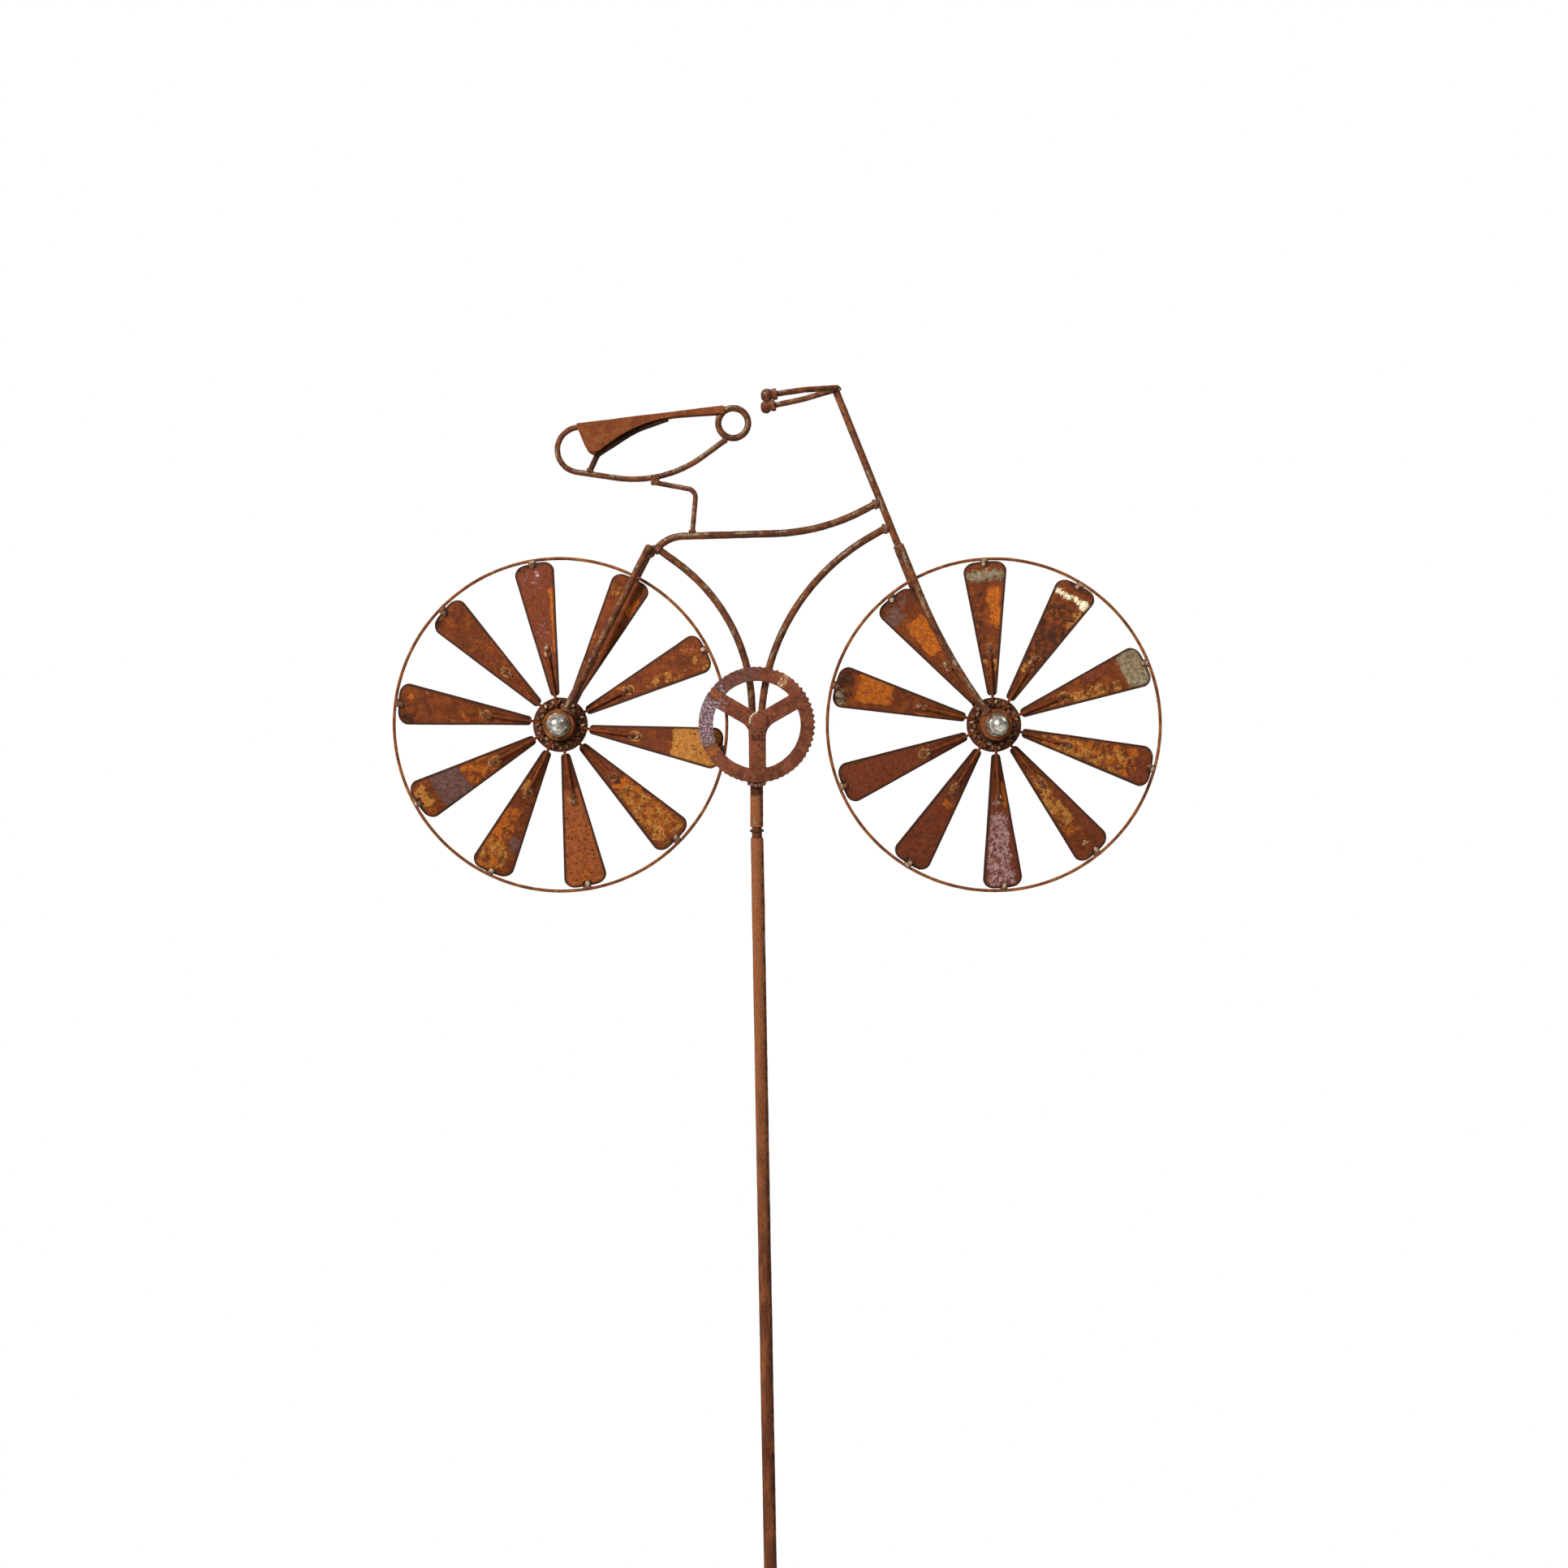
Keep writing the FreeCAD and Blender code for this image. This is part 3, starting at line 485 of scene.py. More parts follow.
class Welds:
    """Beads of weld metal that are kept as one piece."""

    def __init__(self, seed):
        self.parts, self.bright = [], []
        self.random = random.Random(seed)

    def bead(self, place, normal, along, length, width, height, bright=0.0):
        """One lumpy bead, its sizes in millimetres."""
        normal = normal.normalized()
        along = (along - normal * along.dot(normal)).normalized()
        across = normal.cross(along)
        shift = self.random.uniform(0, 90)
        vertices = []
        for point in BALL[0]:
            lump = 1 + 0.22 * noise.noise(point * 1.9 + Vector((shift, 0, 0)))
            ripple = 1 + 0.05 * math.sin(point.x * 14 + shift)
            vertices.append(place + (along * (point.x * length / 2) + across * (point.y * width / 2)
                                     + normal * (point.z * height * ripple)) * lump * MM)
            # the bead is marked paler towards its top: partly bare metal, partly a painted highlight
            self.bright.append(bright * max(0.0, point.z))
        self.parts.append((vertices, BALL[1]))

    def ring(self, centre, axis, radius, size, count, bright=0.0, start=0.0, turn=2 * math.pi):
        """Overlapping beads round a joint."""
        axis = axis.normalized()
        side = axis.orthogonal().normalized()
        other = axis.cross(side)
        for index in range(count):
            angle = start + turn * index / count + self.random.uniform(-0.12, 0.12)
            out = side * math.cos(angle) + other * math.sin(angle)
            tangent = axis.cross(out)
            scale = self.random.uniform(0.85, 1.2)
            self.bead(centre + out * radius * MM, out, tangent, size * 1.5 * scale, size * 1.2,
                      size * 0.5 * scale, bright * self.random.uniform(0.3, 1.0))

    def make(self, name, body, slot):
        vertices, faces = joined(self.parts)
        mesh = mesh_from(name, vertices, faces, {"bright": self.bright})
        return finish_piece(name, mesh, "weld", body, slot, sharp=75)


# ---- the record's slots ----

SLOTS = {entry["node"]: entry["material_slot"] for entry in frame["record"]["subparts"]}


# ---- wheels ----

BLADE_ROOT, BLADE_TIP = 22.0, 121.7
BLADE_ROOT_WIDTH, BLADE_TIP_WIDTH = 6.6, 33.8
BLADE_PITCH = math.radians(15)
BLADE_CUP = 200.0
BLADE_CORNER = 8.5
BLADE_THICKNESS = 1.0
BLADE_COUNT = 10
SPOKE_END = 57.0
DISC_FACE = 0.75
# A blade's mesh: its columns from edge to edge, its rows back from the tip, and its rows from the root.
HALF_COLUMNS = (0.16, 0.32, 0.48, 0.64, 0.78, 0.88, 0.95, 1)
COLUMNS = tuple(-column for column in reversed(HALF_COLUMNS)) + (0,) + HALF_COLUMNS
TIP_STEPS = (0, 0.15, 0.6, 1.3, 2.4, 3.8, 5.5, 7.3, 8.5)
BODY_STEPS = 44

# What shows on each blade, seen from the right side of the bicycle: a layer, its strength, where it
# begins and ends from root (0) to tip (1), and, unless it is as wide as the blade, where it begins and
# ends from the clockwise edge (-1) to the other (1).
PATCHES = {
    "rear": [
        [("ochre", 0.3, 0.42, 1.0, -1, 0.0), ("sienna", 0.25, 0.3, 1), ("pits", 0.2, 0.3, 1),
         ("orange", 0.35, 0.05, 0.35, -0.2, 1)],
        [("orange", 0.45, 0.72, 0.9, -1, -0.3), ("orange", 0.45, 0.0, 0.3, 0, 1),
         ("orange", 0.35, 0.4, 0.6, 0.6, 1), ("ochre", 0.25, 0.75, 0.95, 0.1, 1)],
        # The pink patches on this blade are partly glossy pink scale and partly a painted sheen where light
        # falls on it.
        [("pink", 0.3, 0.36, 0.56, -0.5, 0.7), ("pink", 0.28, 0.78, 0.98, -0.4, 0.9),
         ("red", 0.5, 0.2, 1), ("orange", 0.75, 0.3, 0.82, -1, -0.66), ("black", 0.5, 0.94, 1, 0.2, 1)],
        [("dark", 0.22, 0.2, 1), ("red", 0.25, 0.3, 1), ("orange", 0.6, 0.08, 0.62, -1, -0.74),
         ("black", 0.4, 0.92, 1, 0.3, 1)],
        [("orange", 0.25, 0.35, 0.8, -0.6, 0.8), ("sienna", 0.25, 0.3, 0.9),
         ("dark", 0.4, 0.84, 1, 0.3, 1), ("orange", 0.3, 0.85, 1, -1, -0.2), ("red", 0.25, 0.5, 1)],
        [("orange", 0.36, 0.3, 0.6), ("grey", 0.95, 0.6, 0.82), ("ochre", 0.5, 0.87, 1, -0.8, 0.5),
         ("orange", 0.3, 0.84, 1)],
        [("orange", 0.42, 0.45, 1, -1, 0.3), ("ochre", 0.34, 0.74, 1, -1, 0.6),
         ("grey", 0.5, 0.66, 0.8, 0.2, 0.9), ("dark", 0.3, 0.3, 0.6, 0.1, 1), ("pits", 0.3, 0.6, 1),
         ("ochre", 0.4, 0.22, 0.38, -1, 0.2)],
        [("sienna", 0.62, 0.25, 1), ("orange", 0.35, 0.85, 1, -1, 0.6), ("pits", 0.6, 0.25, 1)],
        [("orange", 0.4, 0.35, 0.95, -0.8, 1), ("ochre", 0.36, 0.4, 1, -0.9, 0.8), ("pits", 0.6, 0.3, 1),
         ("red", 0.4, 0.2, 0.42)],
        [("ochre", 0.8, 0.62, 1), ("red", 0.4, 0.2, 0.6), ("pits", 0.3, 0.6, 1)],
    ],
    "front": [
        [("ochre", 0.36, 0.2, 0.8, -1, 0.1), ("orange", 0.28, 0.3, 0.75, -1, 0.4),
         ("scale", 0.85, 0.82, 1.0, -1, 0.9), ("pits", 0.45, 0.3, 0.8),
         ("dark", 0.55, 0.92, 1, -0.3, 0.3), ("red", 0.4, 0.5, 0.8, 0.2, 1)],
        [("dark", 0.36, 0.1, 0.84), ("cream", 0.75, 0.87, 0.91), ("cream", 0.8, 0.845, 0.91, -1, -0.5),
         ("dark", 0.4, 0.94, 1, -0.9, 0.7), ("ochre", 0.45, 0.66, 0.84, -1, -0.4),
         ("ochre", 0.42, 0.2, 0.36, -0.5, 1)],
        [("orange", 0.5, 0.5, 0.84, -0.9, 0.05), ("scale", 0.62, 0.85, 0.94),
         ("dark", 0.3, 0.2, 0.8, 0.1, 1), ("ochre", 0.32, 0.1, 0.3)],
        [("orange", 0.62, 0.45, 0.78, -0.8, 0.5), ("grey", 0.6, 0.8, 0.93, 0.0, 1),
         ("dark", 0.25, 0.1, 0.5, 0, 1), ("grey", 0.3, 0.86, 1)],
        [("orange", 0.55, 0.56, 0.84, -1, 0.6), ("scale", 0.4, 0.88, 1, 0, 1), ("dark", 0.42, 0.86, 1),
         ("orange", 0.35, 0.15, 0.45, 0.5, 1), ("dark", 0.2, 0.3, 0.55, -1, 0.5)],
        [("red", 0.55, 0.1, 1), ("orange", 0.25, 0.1, 0.4, -1, 0), ("cream", 0.4, 0.94, 1, -0.2, 0.2)],
        [("red", 0.5, 0.1, 1), ("orange", 0.42, 0.42, 0.52), ("pink", 0.2, 0.7, 1, -1, 0.9),
         ("grey", 0.3, 0.2, 0.42), ("cream", 0.35, 0.94, 1, -0.2, 0.2)],
        # The pink patches on this blade are partly glossy pink scale and partly a painted sheen where light
        # falls on it.
        [("pink", 0.5, 0.42, 1, -0.9, 0.7), ("orange", 0.6, 0.2, 0.4, -0.2, 1), ("red", 0.55, 0.3, 1),
         ("pink", 0.3, 0.22, 0.42, -1, 0.6)],
        [("ochre", 0.42, 0.15, 0.72, -1, 0.35), ("orange", 0.3, 0.2, 0.8, -1, 0.4),
         ("pits", 0.5, 0.15, 0.8, -1, 0.4), ("red", 0.6, 0.45, 1, 0.3, 1),
         ("cream", 0.3, 0.82, 0.94, -0.5, 0.1), ("ochre", 0.3, 0.72, 0.9, -1, 0.3)],
        [("ochre", 0.34, 0.1, 0.86, -1, 0.7), ("orange", 0.38, 0.15, 0.9, -1, 0.9),
         ("pits", 0.55, 0.1, 0.9), ("red", 0.45, 0.82, 1)],
    ],
}


def window(value, low, high, soft):
    """1 between two limits, falling to 0 outside them."""
    inside = min(value - low, high - value) / soft + 0.5
    return min(1.0, max(0.0, inside))


def blade_axes(wheel, number):
    """The directions out, across and square to a blade, from where the CAD blade is."""
    node = NODES["%s_blade_%02d" % (wheel, number + 1)]
    middle = sum((vertex.co for vertex in node.data.vertices), Vector()) / len(node.data.vertices)
    out = middle - HUBS[wheel]
    out = (out - ACROSS * out.dot(ACROSS)).normalized()
    tangent = out.cross(ACROSS)
    lateral = tangent * math.cos(BLADE_PITCH) + ACROSS * math.sin(BLADE_PITCH)
    square = ACROSS * math.cos(BLADE_PITCH) - tangent * math.sin(BLADE_PITCH)
    return out, lateral, square


def half_width(place):
    share = (place - BLADE_ROOT) / (BLADE_TIP - BLADE_ROOT)
    return (BLADE_ROOT_WIDTH + (BLADE_TIP_WIDTH - BLADE_ROOT_WIDTH) * share) / 2


def blade_rows():
    """(distance from the hub, half width) from root to tip, with round corners at the tip."""
    rows = [(BLADE_ROOT, 2.3), (BLADE_ROOT + 0.6, 2.8)]
    start = BLADE_ROOT + 1.6
    straight = BLADE_TIP - BLADE_CORNER - start
    for step in range(BODY_STEPS):
        place = start + straight * step / BODY_STEPS
        rows.append((place, half_width(place)))
    for step in reversed(TIP_STEPS):
        place = BLADE_TIP - step
        rows.append((place, half_width(place) - BLADE_CORNER
                     + math.sqrt(BLADE_CORNER ** 2 - (BLADE_CORNER - step) ** 2)))
    return rows


def patch_marks(patches, share, column):
    """The strength of each layer of rust at a place on a blade."""
    entry = {}
    for layer, strength, start, end, *limits in patches:
        left, right = limits or (-1, 1)
        value = strength * window(share, start, end, 0.08) * window(column, left, right, 0.35)
        entry[layer] = max(entry.get(layer, 0.0), value)
    return entry


# The back of a blade has the patches of the blade so many places on.
BACK_SHIFT = 4


def blade_marks(wheel, number, place, half, column, burn):
    """The marks of a blade's front and of its back, at one place of its mesh."""
    side = column * half
    from_tip = BLADE_TIP - place
    along = place - tip_curve(side, from_tip)
    share = (place - BLADE_ROOT) / (BLADE_TIP - BLADE_ROOT)
    edge = 1 - window(min(half - abs(side), from_tip, place - BLADE_ROOT), 1.7, 99, 2.2)
    burnt_tip = 0.5 * window(from_tip, -9, 4.5, 2.0) * window(abs(side), -9, 4.5, 2.0)
    front = patch_marks(PATCHES[wheel][number], share, column)
    back = patch_marks(PATCHES[wheel][(number + BACK_SHIFT) % BLADE_COUNT], share, -column)
    around_spoke = math.hypot(along - SPOKE_END + 1, side * 1.3)
    heat_ring = burn * window(around_spoke, 2.5, 5.5, 2.0)
    spoke_shadow = 0.30 * window(along, 18, SPOKE_END - 2, 5) * window(abs(side), -9, 2.8, 1.6)
    front["ochre"] = max(front.get("ochre", 0.0), heat_ring)
    front["dark"] = max(front.get("dark", 0.0), spoke_shadow)
    for entry in (front, back):
        entry["edge"] = edge
        entry["dark"] = max(entry.get("dark", 0.0), burnt_tip)
    return front, back


def tip_curve(side, from_tip):
    """How far the tip's end is drawn in beside its middle."""
    return 1.5 * (side / 17) ** 2 * max(0.0, 1 - from_tip / BLADE_CORNER)


def outline_of(wide, count):
    """The numbers of the vertices round the edge of a grid, in order."""
    first_row = list(range(wide))
    far_side = [row * wide + wide - 1 for row in range(1, count)]
    last_row = [(count - 1) * wide + index for index in range(wide - 2, -1, -1)]
    near_side = [row * wide for row in range(count - 2, 0, -1)]
    return first_row + far_side + last_row + near_side


def blade_faces(wide, count, loop):
    """The faces of two grids, front and back, joined by a strip round their outline."""
    total = wide * count
    faces = []
    for row in range(count - 1):
        for column in range(wide - 1):
            corner = row * wide + column
            quad = (corner, corner + 1, corner + wide + 1, corner + wide)
            faces.append(quad)
            faces.append(tuple(total + index for index in reversed(quad)))
    for position, index in enumerate(loop):
        following = (position + 1) % len(loop)
        first, second = 2 * total + position, 2 * total + following
        faces.append((index, first, second, loop[following]))
        faces.append((first, total + index, total + loop[following], second))
    return faces


def make_blade(wheel, number):
    """A sheet blade with a dark cut edge, slightly bent, marked with its own patches of rust."""
    out, lateral, square = blade_axes(wheel, number)
    hub, rows = HUBS[wheel], blade_rows()
    seed = number * 7.3 + (40 if wheel == "front" else 0)
    chance = random.Random(seed)
    bend, burn = chance.uniform(-0.5, 0.5), chance.uniform(0.25, 0.7)
    fronts, backs, flats, front_marks, back_marks = [], [], [], [], []
    for place, half in rows:
        for column in COLUMNS:
            side = column * half
            x = place - tip_curve(side, BLADE_TIP - place)
            share = (place - BLADE_ROOT) / (BLADE_TIP - BLADE_ROOT)
            flat = hub + (out * x + lateral * side) * MM
            dent = 0.45 * uneven(flat, 22, seed) + 0.12 * uneven(flat, 6, seed) + bend * share * column
            rise = side ** 2 / (2 * BLADE_CUP) + dent
            thin = BLADE_THICKNESS / 2 * (0.75 if abs(column) == 1 else 1.0)
            fronts.append(flat + square * (rise - thin) * MM)
            backs.append(flat + square * (rise + thin) * MM)
            flats.append((x, side, rise))
            front, back = blade_marks(wheel, number, place, half, column, burn)
            front_marks.append(front)
            back_marks.append(back)
    loop = outline_of(len(COLUMNS), len(rows))
    cut_edge = []
    for position, index in enumerate(loop):
        x, side, rise = flats[index]
        before, after = flats[loop[position - 1]], flats[loop[(position + 1) % len(loop)]]
        away = Vector((after[1] - before[1], before[0] - after[0])).normalized() * -0.2
        cut_edge.append(hub + (out * (x - away.x) + lateral * (side - away.y) + square * rise) * MM)
    marks = front_marks + back_marks + [{"edge": 1.0} for _ in loop]
    name = "%s_blade_%02d" % (wheel, number + 1)
    mesh = mesh_from(name + "_sheet", fronts + backs + cut_edge, blade_faces(len(COLUMNS), len(rows), loop),
                     by_layer(marks))
    bm = bmesh.new()
    bm.from_mesh(mesh)
    bmesh.ops.recalc_face_normals(bm, faces=bm.faces)
    bm.to_mesh(mesh)
    bm.free()
    return finish_piece(name + "_sheet", mesh, "blade", wheel + "_wheel", SLOTS[name], (name,), 50)


RIM_RADIUS, RIM_WIRE = 123.75, 1.25
RIM_STEPS, RIM_SIDES = 240, 12


def make_rim(wheel):
    """The wheel's wire hoop, a little out of true."""
    hub = HUBS[wheel]
    seed = 3.0 if wheel == "rear" else 8.0
    vertices, faces = [], []
    for step in range(RIM_STEPS):
        angle = 2 * math.pi * step / RIM_STEPS
        out = FORWARD * math.cos(angle) + UP * math.sin(angle)
        wander = out * 0.25 * math.sin(2 * angle + seed) + ACROSS * 0.5 * math.sin(3 * angle + seed)
        for side in range(RIM_SIDES):
            turn = 2 * math.pi * side / RIM_SIDES
            away = out * math.cos(turn) + ACROSS * math.sin(turn)
            centre = hub + (out * RIM_RADIUS + wander) * MM
            radius = RIM_WIRE + 0.12 * uneven(centre + away * MM, 4, seed) - 0.08
            vertices.append(centre + away * radius * MM)
            following = (step + 1) % RIM_STEPS
            faces.append((step * RIM_SIDES + side, step * RIM_SIDES + (side + 1) % RIM_SIDES,
                          following * RIM_SIDES + (side + 1) % RIM_SIDES, following * RIM_SIDES + side))
    node = wheel + "_rim"
    return finish_piece(node + "_wire", mesh_from(node + "_wire", vertices, faces), "rim", wheel + "_wheel",
                        SLOTS[node], (node,), 80)


def make_wheel_welds(wheel):
    """Beads round the hub, at each spoke's end and where each blade meets the rim."""
    hub, welds = HUBS[wheel], Welds(11 if wheel == "rear" else 12)
    chance = welds.random
    for number in range(BLADE_COUNT):
        out, lateral, square = blade_axes(wheel, number)
        tangent = out.cross(ACROSS)
        bright = chance.choice((0.1, 0.3, 0.6))
        # the two sides of the spoke on the hub's disc, and the gap to the next spoke
        face = hub - ACROSS * (DISC_FACE + 0.9) * MM
        place = face + (out * 16.6 + tangent * 2.1) * MM
        welds.bead(place, -ACROSS, out * 2 + tangent, 4.4, 2.8, 1.5, bright)
        place = face + (out * 16.9 - tangent * 2.2) * MM
        welds.bead(place, -ACROSS, out * 2 - tangent, 4.0, 2.6, 1.4, chance.uniform(0.1, 0.8))
        between = (out + tangent * math.tan(math.pi / BLADE_COUNT)).normalized()
        place = hub + (between * 14.6 - ACROSS * DISC_FACE) * MM
        welds.bead(place, -ACROSS, between.cross(ACROSS), 4.6, 3.0, 1.6, chance.uniform(0.0, 0.5))
        # the spoke's end on the blade
        end = hub + (out * SPOKE_END - ACROSS * 1.2) * MM
        slant = out + tangent * chance.uniform(-1, 1)
        welds.bead(end + out * 0.4 * MM, -square, slant, 5.6, 4.6, 1.5, bright)
        place = end - (out * 3.6 - tangent * 1.2) * MM
        welds.bead(place, -square, out, 4.6, 2.4, 1.5, chance.uniform(0.1, 0.7))
        place = end - (out * 4.2 + tangent * 1.3) * MM
        welds.bead(place, -square, out, 4.6, 2.2, 1.4, chance.uniform(0.0, 0.6))
        # the blade's tip on the rim
        tip = hub + out * (BLADE_TIP + 0.8) * MM
        welds.bead(tip - ACROSS * 0.3 * MM, -ACROSS, tangent, 6.2, 4.0, 1.7, chance.choice((0.0, 0.1, 0.6)))
        place = tip - (out * 2.6 + ACROSS * 0.5 - tangent * 0.8) * MM
        welds.bead(place, -square, out, 4.6, 4.2, 1.4, chance.choice((0.2, 0.6, 0.9)))
    return welds.make(wheel + "_wheel_welds", wheel + "_wheel", SLOTS[wheel + "_hub"])


for wheel in HUBS:
    make_rim(wheel)
    for number in range(BLADE_COUNT):
        make_blade(wheel, number)
    weathered(wheel + "_spokes", "blade", 6, 0.08)
    weathered(wheel + "_hub", "hub", 2.5, 0.15, 0.0, 3)
    weathered(wheel + "_bush", "hub", 4, 0.05)
    make_wheel_welds(wheel)


# ---- axle ends ----

BORE_RADIUS = 4.1
EYE_RADIUS, EYE_THICKNESS, EYE_OUTSIDE = 11.5, 3.0, 12.0
WASHER_RADIUS, WASHER_THICKNESS = 8.8, 1.6
FACE_GAP = 0.05
NUT_HEIGHT, HEAD_HEIGHT = 6.5, 5.3
NUT_FLAT = 6.5
NUT_LIMIT = 7.35
DOME_EDGE = 5.6


def six_sided(radius, angle):
    """A hexagon's reach in a direction, cut back to a circle."""
    turn = (angle % (math.pi / 3)) - math.pi / 6
    return min(NUT_FLAT / math.cos(turn), radius) if radius > NUT_FLAT * 0.9 else radius


def nut_profile(height, domed):
    """A chamfered hexagon nut, with a domed cap or a flat head."""
    rows = [(6.0, 0.0), (NUT_LIMIT - 0.5, 0.05), (NUT_LIMIT, 0.5), (NUT_LIMIT + 0.3, height * 0.5),
            (NUT_LIMIT, height - 0.7), (NUT_LIMIT - 0.55, height - 0.25), (6.3, height)]
    if domed:
        rows += [(5.8 * math.cos(angle), height + 0.5 + 5.5 * math.sin(angle))
                 for angle in [math.radians(step) for step in range(0, 86, 9)]]
        return rows + [(0.05, height + 6.0)]
    return rows + [(5.6, height - 0.12), (0.05, height - 0.12)]


def rounded_ring(inner, outer, low, high, edge):
    """A flat ring's outline with rounded outer edges."""
    round_off = edge * 0.3
    return [(inner, low), (outer - edge, low), (outer - round_off, low + round_off), (outer, low + edge),
            (outer, high - edge), (outer - round_off, high - round_off), (outer - edge, high), (inner, high)]


def clean_top(vertices):
    """Dirt on the axle ends outside the dome's own radius."""
    reaches = [min((vertex - hub - ACROSS * (vertex - hub).dot(ACROSS)).length for hub in HUBS.values())
               for vertex in vertices]
    return {"edge": [window(reach / MM, DOME_EDGE, 99, 0.8) for reach in reaches]}


def make_axle_ends():
    """An eye and a washer on both sides of each wheel, a dome nut on the right, a bolt head on the left."""
    eyes, washers, nuts, bolts = [], [], [], []
    washer_back = EYE_OUTSIDE + FACE_GAP
    washer_front = washer_back + WASHER_THICKNESS
    eye = rounded_ring(BORE_RADIUS, EYE_RADIUS, EYE_OUTSIDE - EYE_THICKNESS, EYE_OUTSIDE, 0.5)
    washer = rounded_ring(BORE_RADIUS, WASHER_RADIUS, washer_back, washer_front, 0.3)
    face = ACROSS * (washer_front + FACE_GAP) * MM
    for hub in HUBS.values():
        for outward in (-ACROSS, ACROSS):
            eyes.append(lathe(eye, hub, outward, 56))
            washers.append(lathe(washer, hub, outward, 48))
        nuts.append(lathe(nut_profile(NUT_HEIGHT, True), hub - face, -ACROSS, 72, six_sided))
        bolts.append(lathe(nut_profile(HEAD_HEIGHT, False), hub + face, ACROSS, 72, six_sided))
    for node, parts, material in (("axle_eyes", eyes, "eye"), ("washers", washers, "washer"),
                                  ("dome_nuts", nuts, "zinc"), ("axle_bolts", bolts, "zinc")):
        vertices, faces = joined(parts)
        marks = clean_top(vertices) if material == "zinc" else None
        finish_piece(node + "_turned", mesh_from(node + "_turned", vertices, faces, marks), material, "bike",
                     SLOTS[node], (node,), 32)


make_axle_ends()


# ---- chainring ----

def ring_marks(place):
    """Crust on the chainring's left side and upper right, and streaks on its lower arm."""
    offset = place - BRACKET
    x, z = offset.dot(FORWARD) / MM, offset.dot(UP) / MM
    radius, angle = math.hypot(x, z), math.degrees(math.atan2(z, x)) % 360
    band = window(radius, 30, 50, 3)
    outer = window(radius, 37, 50, 3)
    lower = window(angle, 225, 330, 14)
    arm = window(abs(x - 1), -9, 6, 3)
    spots = max(window(angle, 138, 148, 6), window(angle, 204, 216, 6)) * band
    patch = band * window(angle, 52, 66, 8)
    return {
        "violet": max(0.44 * band * window(angle, 126, 222, 24) * (1 - spots),
                      0.25 * band * window(angle, 80, 135, 24), 0.20 * lower * band,
                      0.35 * window(angle, 140, 160, 6) * window(radius, 24, 34, 4), 0.30 * patch),
        "grey": max(0.36 * band * window(angle, 80, 222, 24), 0.06),
        "cream": max(0.32 * patch, 0.14 * outer * window(angle, 125, 215, 10)),
        "orange": max(0.42 * patch, 0.60 * spots, 0.24 * arm * window(z, -34, -14, 6)),
        "ochre": 0.22 * arm * window(z, -43, -12, 6),
        "dark": 0.42 * arm * window(z, -13, -6, 3),
        "pits": 0.3,
    }


# The gaps between the teeth start at the first radius, and crust fills them up to the second.
TOOTH_FOOT = 41.5
CLOGGED_EDGE = 42.9


def make_chainring():
    """The toothed ring, its plate thickened with crust where it's marked."""
    copy = add_object("chainring_work", NODES["chainring"].data.copy())
    weld = copy.modifiers.new("weld", "WELD")
    weld.merge_threshold = 1e-6
    remesh = copy.modifiers.new("remesh", "REMESH")
    remesh.mode = "VOXEL"
    remesh.voxel_size = 0.5 * MM
    graph = bpy.context.evaluated_depsgraph_get()
    mesh = bpy.data.meshes.new_from_object(copy.evaluated_get(graph))
    bpy.data.objects.remove(copy)
    marks = [ring_marks(vertex.co) for vertex in mesh.vertices]
    normals = [vertex.normal.copy() for vertex in mesh.vertices]
    for vertex, normal, entry in zip(mesh.vertices, normals, marks):
        crust = 0.07 + 0.40 * entry["violet"] + 0.2 * entry["cream"] + 0.2 * entry["ochre"]
        vertex.co += normal * (uneven(vertex.co, 1.6, 4.0) * crust + uneven(vertex.co, 5, 6.0) * crust) * MM
        offset = vertex.co - BRACKET
        flat = offset - ACROSS * offset.dot(ACROSS)
        clogged = max(entry["violet"], 0.8 * entry["cream"]) * 3
        if flat.length > TOOTH_FOOT * MM and clogged > 0.3:
            reach = flat.length + (CLOGGED_EDGE * MM - flat.length) * min(1.0, clogged)
            vertex.co += flat.normalized() * (reach - flat.length)
    set_marks(mesh, by_layer(marks))
    return finish_piece("chainring_plate", mesh, "ring", "bike", SLOTS["chainring"], ("chainring",), 60)


make_chainring()
weathered("chainring_pin", "ring", 1.2, 0.12, 0.0, 3)


# ---- rods ----

def rod_painted_light(place, normal):
    """A painted highlight, a paler line along the upper half of each flank where the light falls, and
    painted shade, darker rust on the faces above and underneath.
    """
    flank = abs(normal.dot(ACROSS))
    upper = normal.dot(UP) > 0.5 * normal.dot(FORWARD)
    painted_highlight = (0.30 + 0.35 * uneven(place, 12, 7.0)) * window(flank, 0.72, 2, 0.16) * upper
    painted_shade = (0.34 + 0.2 * uneven(place, 18, 9.0)) * window(flank, -1, 0.5 if upper else 0.8, 0.4)
    return {"scale": painted_highlight, "dark": painted_shade}


# Each group of rods has its step between rings, how many ways it is cut, and its lumps.
RODS = {
    ("head_tube", "top_tube", "seat_tube", "down_tube", "fork_leg_right", "fork_leg_left", "stay_right",
     "stay_left"): (2.5, 1, 0.14),
    ("fork_crown", "stay_bridge"): (2, 1, 0.14),
    ("seat_post",): (1.6, 2, 0.14),
    ("saddle_loop",): (1.8, 2, 0.14),
    ("saddle_ring",): (1.6, 2, 0.14),
    ("handlebar_right", "handlebar_left"): (2, 1, 0.14),
    ("saddle_lug",): (1.5, 3, 0.14),
    ("grip_right", "grip_left"): (0.9, 3, 0.36),
}
for nodes, (step, axis_count, lumps) in RODS.items():
    for node in nodes:
        weathered(node, "rod", step, lumps, 0.0, axis_count, rod_painted_light)
# The saddle rail gets the near-black burnt rust: painted shade, for a rail that lies in shade behind the
# saddle cover.
weathered("saddle_rail", "burnt", 1.8, 0.12, 0.0, 2)


